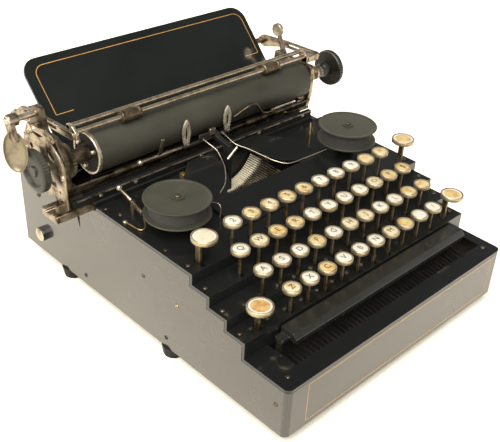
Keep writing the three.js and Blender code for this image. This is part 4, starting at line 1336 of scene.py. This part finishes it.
def side_screws():
    """Screw heads on both side panels."""
    small = 1.8
    large = 2.6
    spots = [
        (157.6, 54.3, small, tarnish_and_shade_nickel), (117.3, 48.7, small, brass),
        (303.1, 59.2, large, tarnish_and_shade_nickel), (10.9, 26.3, small, tarnish_and_shade_nickel),
        (238.5, 9.1, small, dark_steel), (131, 9.1, small, dark_steel),
    ]
    for side, label in sides_label:
        for index, (y, z, radius, material) in enumerate(spots):
            name = f"{label}_side_screw_{index + 1}"
            screw(on_body, name, (side * half_width, y, z), (side, 0, 0), radius, material)


def side_knob_cap():
    """The bright domed end of the knob on the left side."""
    knob_length = 5
    overlap = 0.2
    end = -half_width - knob_length
    inner = end + overlap
    dome = [(radius, end - rise) for radius, rise in ((0, 1.6), (3.4, 1.4), (5.6, 0.5))]
    cap = [*dome, (6.2, inner), (0, inner)]
    turned(on_body, [("side_knob_cap", cap, (300, 21), 40, bright_nickel)])


def wing_z(y):
    """Height of the wings, which rise gently to the rear."""
    front_y = 158
    front_z = 92.8
    rise = 5.2
    run = 56
    return front_z + (y - front_y) * rise / run


def wing_trims():
    """A bright wire on the free edge of each wing, a bead on the panel's top, and a bright wire down the
    panel's left end that is a painted highlight on that edge.
    """
    lift = 0.35
    radius = 0.45
    left_edge = [(-47.8, 164.4), (-34.8, 172.7), (-21.5, 187.5), (-14.6, 199)]
    left_rise = [(-11.5, 209, 101), (-13, 217, 104.3), (-16.2, 222.2, 108.2)]
    right_edge = [
        (77, 160.6), (49.7, 161.6), (31, 163.6), (23.5, 173.6), (20.5, 184.9), (17.2, 200), (13, 212),
    ]
    right_rise = [(9.6, 219, 103.2), (5.9, 223.4, 108.2)]
    left_path = [(x, y, wing_z(y) + lift) for x, y in left_edge] + left_rise
    right_path = [(x, y, wing_z(y) + lift) for x, y in right_edge] + right_rise
    # This bright wire down the panel's left end stands for a highlight on that edge: painted highlight.
    glint_path = [(-63.5, 160, 93), (-66.5, 145, 99.5), (-66, 143.4, 92), (-66, 146.5, 81)]
    wires(on_deck, [
        ("left_wing_trim", left_path, 8, radius, 12, bright_nickel),
        ("right_wing_trim", right_path, 8, radius, 12, bright_nickel),
        ("panel_bead", [(-65.5, 158.4, 92.9), (65.5, 158.4, 92.9)], 1, 0.5, 10, deck_paint),
        ("left_panel_glint_wire", glint_path, 6, radius, 10, bright_nickel),
    ])


def ribbon_lever():
    """A tapered lever on a stud, with a bright ball at its end."""
    path = [
        (-111.5, 213, 99.3), (-111.3, 203, 96.6), (-111, 196.2, 93.8), (-112.6, 188.6, 93.2),
        (-114.4, 179.6, 93.2),
    ]
    radius = 1.2
    end_radius = 2
    path_steps = 6
    sides = 16
    on_deck("ribbon_lever", tube(smooth_path(path, path_steps), radius, sides, end_radius), nickel)
    sink = 0.2
    step_rise = 2.4
    stud_centre = (-111, 196.2)
    low = deck_top - sink
    step = deck_top + step_rise
    stud = [(0, low), (2.6, low), (2.2, step), (2.2, 95.4), (1.4, 96.2), (0, 96.2)]
    on_deck("ribbon_lever_stud", lathe(stud, "z", stud_centre, small_sides), tarnish_and_shade_nickel)
    ball_radius = 2.5
    steps = 14
    ball = [
        (ball_radius * math.sin(math.pi * step / steps), -ball_radius * math.cos(math.pi * step / steps))
        for step in range(steps + 1)
    ]
    ball_sides = 28
    ball_place = (-111.5, 213, 99.6)
    ball_shape = moved(lathe(ball, "z", (0, 0), ball_sides), ball_place)
    on_deck("ribbon_lever_ball", ball_shape, bright_nickel)


def deck_works():
    """Small things on the deck's top: the brass stops, the hooked wire and the ribbon's guide wire."""
    blocks(on_deck, [
        ("brass_stop_1", (-51.7, -47.5), (206, 211.5), (87.6, 92.6), brass, 0.5),
        ("brass_stop_2", (-45.3, -41.1), (206, 211.5), (87.6, 92.6), brass, 0.5),
    ])
    hook = [
        (-127.3, 184.5, 88.6), (-127.0, 175, 88.9), (-125.6, 167.5, 88.9), (-120.5, 168.5, 88.9),
        (-112.5, 181, 88.7),
    ]
    guide = [(81.3, 185.4, 87.6), (81.6, 185.8, 97), (84.2, 188.4, 106.5)]
    wires(on_deck, [
        ("hooked_wire", hook, 6, 0.6, 10, brass),
        ("ribbon_guide_wire", guide, 6, 0.6, 10, brass),
    ])
    screw_radius = 1.8
    screw_place = (-127.3, 184.8, 88.5)
    screw(on_deck, "hooked_wire_screw", screw_place, (0, 0, 1), screw_radius, bright_nickel)


def way_brackets():
    """The brackets inside the frame that hold the ends of the carriage ways."""
    inset = 6.2
    half = 1
    y_range = (252, 290)
    z_range = (60, 84)
    for side, label in sides_label:
        shape = block(around(side * (half_width - inset), half), y_range, z_range)
        on_way(label + "_way_bracket", shape, black_iron, broad_edge)


# Carriage

def carriage_rail():
    """The slotted rail with its plated end outside the body, and the bars and rods along with it."""
    plated_end = -131
    front = 218
    back = 240
    bottom = 84.7
    groove_front = 226
    groove_back = 234
    groove_floor = 89
    section = [
        (front, bottom), (back, bottom), (back, rail_top), (groove_back, rail_top),
        (groove_back, groove_floor), (groove_front, groove_floor), (groove_front, rail_top),
        (front, rail_top),
    ]
    made = on_carriage("rail_plated_end", prism(section, "x", rail_left, plated_end), nickel, broad_edge)
    on_carriage("rail", prism(section, "x", plated_end, rail_right), black_iron, broad_edge)
    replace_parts(made, "carriage_frame")
    rib_right = 119
    runner_right = 118
    blocks(on_carriage, [
        ("front_bar", (left_plate_x, rail_right), (220, 224), (90.5, 97), black_iron, 0.5),
        ("right_plate_foot", (106, right_outer), (236, 247), (88.7, 92.7), tarnish_and_shade_nickel, 0.5),
        ("rear_bar", (left_plate_x, right_plate_x), (272, 279), (92, 100), black_iron, 0.6),
    ])
    wires(on_carriage, [
        ("front_bar_rib", [(-146, 219.8, 96.3), (rib_right, 219.8, 96.3)], 1, 0.8, 12, nickel),
        ("rail_runner", [(-146, 228.6, 91.5), (runner_right, 228.6, 91.5)], 1, 1.3, 16, tarnish_and_shade_nickel),
        ("brace_rod", [(-135, 316, 132), (149, 316, 132)], 1, 3, 32, nickel),
    ])


def end_plates():
    """The upright plates that carry the platen, and the fixed pins of the levers on them."""
    left = [
        (232.6, 90.5), (240, 90.5), (243, 102.2), (272, 92), (279, 92), (284, 119.6), (272, 147),
        (267, 147), (262, 165), (252, 165), (247, 147), (233.8, 147), (222.6, 130.8), (222.6, 108.4),
        (227.6, 102.2),
    ]
    right = [
        (236.5, 89.2), (247, 89.2), (247.5, 102.2), (272, 92), (279, 92), (284, 119.6), (282, 136),
        (272, 136), (262, 134.5), (233.8, 134.5), (232.6, 130.8), (232.6, 108.4),
    ]
    bore = bores([(4.35, 28, platen_centre)])
    lightening = bores([(3, 20, (232, 112)), (2.4, 20, (262, 103)), (2.6, 20, (236, 138))])
    left_range = around(left_plate_x, plate_half)
    right_range = around(right_plate_x, plate_half)
    plates(on_carriage, [
        ("left_end_plate", left, 2.5, bore + lightening, left_range, 0.5, tarnish_and_shade_nickel),
        ("right_end_plate", right, 2.5, bore, right_range, 0.5, nickel),
    ])
    left_pin = [(0, -177), (2.0, -177), (2.5, -176.5), (2.5, left_plate_x), (0, left_plate_x)]
    right_pin = [(0, right_plate_x), (2, right_plate_x), (2, 138.8), (1.5, 139.3), (0, 139.3)]
    turned(on_carriage, [
        ("return_pin", left_pin, return_pivot, 28, bright_nickel),
        ("release_pin", right_pin, release_pivot, 28, bright_nickel),
    ])


def table_stays():
    """Two dark brackets that hold the paper table and the brace rod."""
    half = 4
    stay = [
        (278.5, 92), (284.2, 92), (316, 127), (321, 132), (316, 134.5), (284.2, 109.3), (278.5, 100),
    ]
    for label, x in (("left", -85), ("right", 99)):
        on_carriage(label + "_table_stay", prism(stay, "x", *around(x, half)), black_iron, clean_edge)


def escapement_rack():
    """A toothed rack behind the rail."""
    pitch = 3.2
    left = -142
    right = 100
    tooth_half = 0.8
    tooth_y = (238.6, 240.6)
    tooth_z = (91.1, 93.4)
    bar_left = -144
    bar_y = (236.4, 238.8)
    bar_z = (90.4, 93.6)
    teeth = []
    for tooth in range(int((right - left) / pitch)):
        teeth.append(block(around(left + tooth * pitch, tooth_half), tooth_y, tooth_z))
    bar = block((bar_left, right), bar_y, bar_z)
    on_carriage("escapement_rack", merged(bar, *teeth), tarnish_and_shade_nickel)


def scale_marks():
    """Marks one letter apart on the front bar, a longer one at every fifth."""
    pitch = 2.54
    first = -103
    count = 81
    half = 0.14
    top = 96.2
    short_low = 93.2
    long_low = 91.9
    depth = (219.94, 220.2)
    marks = []
    for mark in range(count):
        low = short_low if mark % 5 else long_low
        marks.append(block(around(first + mark * pitch, half), depth, (low, top)))
    on_carriage("scale_marks", merged(*marks), ink)


def rail_screws():
    """Screws along the front bar of the rail."""
    radius = 1.7
    bar_front = 220
    spots = ((-124, 94.4), (-90, 94.2), (-20, 94.2), (50, 94.2), (108, 94.2))
    for index, (x, z) in enumerate(spots):
        screw(on_carriage, f"rail_screw_{index + 1}", (x, bar_front, z), (0, -1, 0), radius, bright_nickel)


def feed_works():
    """The dark pan under the platen, the rod with its little rollers, and the bars before them."""
    radius = 19.6
    thickness = 0.8
    steps = 18
    start = math.radians(-24)
    end = math.radians(52)
    arc_outline = band(platen_centre, radius, radius + thickness, start, end, steps)
    pan_left = -116
    pan_right = 123
    on_carriage("feed_pan", prism(arc_outline, "x", pan_left, pan_right), black_iron)
    # The skirt below the platen's front is a dark sheet that stands in for the shade there, so the pale
    # floor does not show between platen and rail.
    blocks(on_carriage, [
        ("feed_pan_shade_skirt", (-118, 123), (241.2, 242.2), (91.4, 102.4), black_iron, 0.2),
        ("margin_bar", (-146, -94), (233.6, 235.6), (96.4, 99.2), nickel, 0.6),
        ("bright_strip", (81, 110), (232.6, 234), (103.6, 105.4), polished_nickel, 0.3),
        ("bright_strip_end", (77.4, 81.4), (231.4, 234.2), (102.6, 106), brass, 0.5),
    ])
    rod_y = 233.4
    rod_z = 100.3
    link = [(24.2, 227, 115.5), (46.5, 224.8, 122.4), (61.8, 228, 108.4), (77.7, 231.5, 104)]
    wires(on_carriage, [
        ("card_bar", [(-76, 232.4, 101.8), (-30, 232.4, 101.0)], 1, 1.5, 20, rod_nickel),
        ("card_link", link, 6, 0.9, 12, tarnish_and_shade_nickel),
        ("feed_rod", [(-147, rod_y, rod_z), (129.5, rod_y, rod_z)], 1, 1.2, 16, tarnish_and_shade_nickel),
    ])
    bar_end = [(0, -79), (1.6, -78.6), (2.6, -77.4), (2.6, -75.6), (1.6, -74.6), (0, -74.2)]
    turned(on_carriage, [("card_bar_end", bar_end, (232, 101.8), 24, bright_nickel)])
    tab = [(230.6, 102.6), (232.2, 102.6), (227.0, 119.4), (225.8, 119)]
    tab_left = -58
    tab_right = -54.4
    on_carriage("card_tab", prism(tab, "x", tab_left, tab_right), nickel, fine_edge)
    roller_half = 13
    bore = 1.25
    roller_radius = 2.3
    roller_places = (-88, -58, 58, 96)
    for index, x in enumerate(roller_places):
        left, right = around(x, roller_half)
        profile = [(bore, left), (roller_radius, left), (roller_radius, right), (bore, right)]
        roller = lathe(profile, "x", (rod_y, rod_z), small_sides)
        on_carriage(f"feed_roller_{index + 1}", roller, tarnish_and_shade_nickel, fine_edge)


def cover_plates():
    """A thin nickel plate outside each end plate, held off it by three spacers with screws."""
    left = [
        (217.5, 91.8), (229, 91.8), (231.5, 101), (246, 95), (262, 97), (271, 108), (276, 122),
        (271, 137), (262, 145), (250, 143), (243, 147), (232, 144), (222, 136), (217.5, 125),
    ]
    left_holes = bores([
        (6.4, 28, platen_centre),
        (2.3, 18, (262, 132)),
        (1.4, 18, (232.6, 110.6)),
        (1.4, 18, (226.6, 105.4)),
        (2.2, 18, (224.6, 97)),
    ])
    slots = (
        [(263, 108), (267, 108), (269, 120), (265, 120)],
        [(232, 129), (239, 133), (237, 138), (230, 134)],
    )
    slot_rounding = 1.8
    slot_steps = 3
    left_holes += [rounded(slot, slot_rounding, slot_steps) for slot in slots]
    right = [
        (238, 104), (247, 97), (262, 99), (268, 112), (268, 126), (256, 132), (243, 131), (238, 122),
    ]
    right_holes = bores([(6.2, 28, platen_centre), (2, 18, (262, 121))])
    left_stand = 3.4
    right_stand = 2
    left_gap = 1.9
    right_gap = 0.6
    left_face = left_outer - left_stand
    right_face = right_outer + right_stand
    left_range = (left_face, left_outer - left_gap)
    right_range = (right_outer + right_gap, right_face)
    plates(on_carriage, [
        ("left_cover_plate", left, 4, left_holes, left_range, 0.3, nickel),
        ("right_cover_plate", right, 4, right_holes, right_range, 0.3, nickel),
    ])
    left_screw = 2.3
    right_screw = 1.9
    left_spacer_radius = 2.4
    left_spacer_start = -154.7
    left_spacer_end = -152.1
    right_spacer_radius = 2
    right_spacer_start = 133.7
    right_spacer_end = 135
    for index, spot in enumerate(((253, 100), (221, 120.7), (269.5, 127))):
        spacer = pin(left_spacer_radius, left_spacer_start, left_spacer_end, spot, small_sides)
        on_carriage(f"cover_spacer_{index + 1}", spacer, tarnish_and_shade_nickel)
        place = (left_face, *spot)
        screw(on_carriage, f"cover_screw_{index + 1}", place, (-1, 0, 0), left_screw, bright_nickel)
    for index, spot in enumerate(((249.5, 102.5), (263, 106), (250, 129))):
        spacer = pin(right_spacer_radius, right_spacer_start, right_spacer_end, spot, tiny_sides)
        on_carriage(f"right_spacer_{index + 1}", spacer, tarnish_and_shade_nickel)
        place = (right_face, *spot)
        screw(on_carriage, f"right_cover_screw_{index + 1}", place, (1, 0, 0), right_screw, bright_nickel)


def end_springs():
    """Coil springs at both ends of the carriage: start, end, radius, turns and wire."""
    springs = [
        ("left_spring_1", (-156.8, 268, 141), (-156.8, 250, 152), 1.7, 15, 0.38),
        ("left_spring_2", (-144.6, 262, 146), (-144.6, 276, 128), 1.6, 16, 0.38),
        ("left_spring_3", (-144.5, 236, 132), (-144.5, 231, 106), 1.5, 17, 0.38),
        ("release_spring", (138.4, 262, 112), (138.4, 276, 128), 1.5, 15, 0.36),
    ]
    for name, start, end, radius, turns, wire in springs:
        on_carriage(name, coil(start, end, radius, turns, wire), bright_nickel)


def spacing_works():
    """The pawl, arms, studs and stops of the line spacing at the left end, and the right bearing."""
    pawl = [(262, 163), (267, 158), (262, 147), (259.5, 137.2), (255, 133.4), (254, 139), (256, 150)]
    pawl_pivot = (261, 157)
    arm = [(226, 147.5), (243, 149), (262, 148), (262, 152), (245, 154), (234, 156), (224, 152)]
    bracket = [
        (262, 148), (282, 152), (297, 147), (306, 139), (310, 131), (304, 128), (296, 137), (281, 143),
        (268, 142),
    ]
    bracket_holes = bores([(2, 18, (277, 147.5)), (1.6, 18, (297, 141.5))])
    plates(on_carriage, [
        ("line_pawl", pawl, 2, [circle(1.5, 16, pawl_pivot)], (-146.5, -144), 0.3, bright_nickel),
        ("spacing_arm", arm, 2, [circle(1.6, 16, (229, 151.5))], (-158.2, -156.4), 0.3, nickel),
        ("bail_bracket", bracket, 3, bracket_holes, (-148.4, -146.4), 0.3, nickel),
    ])
    stud_sink = 0.4
    stud_end = left_outer + stud_sink
    pawl_pin = [(0, -147.6), (1.4, -147.6), (1.4, -142.8), (2.3, -142.4), (0, -141.8)]
    arm_stud = [(0, -158.9), (2.6, -158.5), (2.6, -158.1), (1.9, -157), (1.9, stud_end), (0, stud_end)]
    bearing = [(4.35, 137), (7.4, 137), (7.4, 141), (6.2, 142), (4.35, 142), (4.35, 137)]
    turned(on_carriage, [
        ("line_pawl_pin", pawl_pin, pawl_pivot, 20, tarnish_and_shade_nickel),
        ("spacing_arm_stud", arm_stud, (258, 150), 24, bright_nickel),
        ("right_bearing", bearing, platen_centre, 40, nickel),
    ])
    bracket_stay = [(-147.4, 303, 134), (-147.4, 309, 132.6), (-136.2, 316, 132)]
    wires(on_carriage, [("bracket_stay", bracket_stay, 1, 2.2, 16, tarnish_and_shade_nickel)])
    blocks(on_carriage, [("margin_stop", (-163, -152), (219.5, 224.4), (90.9, 99), tarnish_and_shade_nickel, 0.8)])
    screw_radius = 1.9
    for index, spot in enumerate(((257, 143.8), (240, 143), (276, 104))):
        name = f"left_plate_screw_{index + 1}"
        screw(on_carriage, name, (left_outer, *spot), (-1, 0, 0), screw_radius, dark_steel)


# Studio, in metres: a pale floor, a pale wall under a dark ceiling, a broad sky and two small lamps

def studio_floor():
    half = 4.0
    mesh = bpy.data.meshes.new("floor")
    corners = [(-half, -half, 0), (half, -half, 0), (half, half, 0), (-half, half, 0)]
    mesh.from_pydata(corners, [], [(0, 1, 2, 3)])
    floor = bpy.data.objects.new("floor", mesh)
    bpy.context.scene.collection.objects.link(floor)
    material, _, shader = new_material("studio_paper")
    settle(shader, {"Base Color": (0.82, 0.765, 0.645, 1), "Roughness": 0.9})
    mesh.materials.append(material)


def studio_world():
    """A pale studio wall all round, under a dark ceiling that keeps the black tops black."""
    world = bpy.data.worlds.new("studio")
    bpy.context.scene.world = world
    world.use_nodes = True
    tree = world.node_tree
    coords = tree.nodes.new("ShaderNodeTexCoord")
    parts = tree.nodes.new("ShaderNodeSeparateXYZ")
    tree.links.new(coords.outputs["Generated"], parts.inputs["Vector"])
    wall_top = 0.34
    ceiling = 0.46
    wall_colour = (1.0, 0.99, 0.97)
    ceiling_colour = (0.048, 0.049, 0.05)
    stops = [(wall_top, wall_colour), (ceiling, ceiling_colour)]
    ramp(tree, parts.outputs["Z"], stops, tree.nodes["Background"].inputs["Color"])


def add_light(name, kind, power, colour, way, where=(0, 0, 0)):
    """A light of a kind at a place, which shines along a way."""
    light = bpy.data.lights.new(name, kind)
    light.energy = power
    light.color = colour
    holder = bpy.data.objects.new(name, light)
    bpy.context.scene.collection.objects.link(holder)
    holder.location = where
    holder.rotation_mode = "QUATERNION"
    holder.rotation_quaternion = Vector(way).to_track_quat("-Z", "Y")
    return light


def studio_lights():
    """Even light from a broad sky high on the left, and two small lamps that put glints on the metal."""
    sky_power = 7.5
    daylight = (1.0, 0.985, 0.96)
    sky_way = (0.45, 0.25, -0.86)
    sky_spread = 70
    sky = add_light("sky", "SUN", sky_power, daylight, sky_way)
    sky.angle = math.radians(sky_spread)
    warm = (1.0, 0.96, 0.9)
    middle = Vector((0, 0, 0.08))
    lamps = (
        ("left_glint", Vector((-1.2, -0.2, 1.1)), 0.35, 0.35, 6),
        ("back_glint", Vector((-0.2, 1.3, 1.0)), 0.5, 0.3, 5),
    )
    for name, where, wide, tall, power in lamps:
        lamp = add_light(name, "AREA", power, warm, middle - where, where)
        lamp.shape = "RECTANGLE"
        lamp.size = wide
        lamp.size_y = tall


def studio_camera():
    """The camera at the photograph's viewing angle: its place, and the ways to its right, up and back."""
    data = bpy.data.cameras.new("camera")
    data.sensor_width = 36
    data.lens = 60.4
    data.shift_x = -0.074
    data.shift_y = 0.045
    place = (-444.2, -265.5, 446.3)
    right = (0.6975, -0.7134, 0.0677)
    up = (0.3648, 0.4346, 0.8232)
    back = (-0.6168, -0.5495, 0.5635)
    camera = bpy.data.objects.new("camera", data)
    bpy.context.scene.collection.objects.link(camera)
    turn = Matrix((right, up, back)).transposed().to_4x4()
    camera.matrix_world = Matrix.Translation((Vector(place) + ORIGIN) * MM) @ turn
    bpy.context.scene.camera = camera
    bpy.context.scene.view_settings.view_transform = "Standard"


dress_solids()
keyboard()
shift_keys()
outer_keys()
for side, label in sides_label:
    spool(side, label + "_spool")
    spindle_nut(side, label)
platen()
line_ratchet()
platen_knobs()
segment()
typebars()
ribbon_guide()
carriage_rail()
end_plates()
table_stays()
paper_table()
table_line()
apron_lines()
paper_bail()
return_lever()
release_lever()
spring_drum()
deck_screws()
side_screws()
side_knob_cap()
wing_trims()
ribbon_lever()
deck_works()
escapement_rack()
scale_marks()
rail_screws()
feed_works()
cover_plates()
end_springs()
spacing_works()
way_brackets()
studio_floor()
studio_world()
studio_lights()
studio_camera()
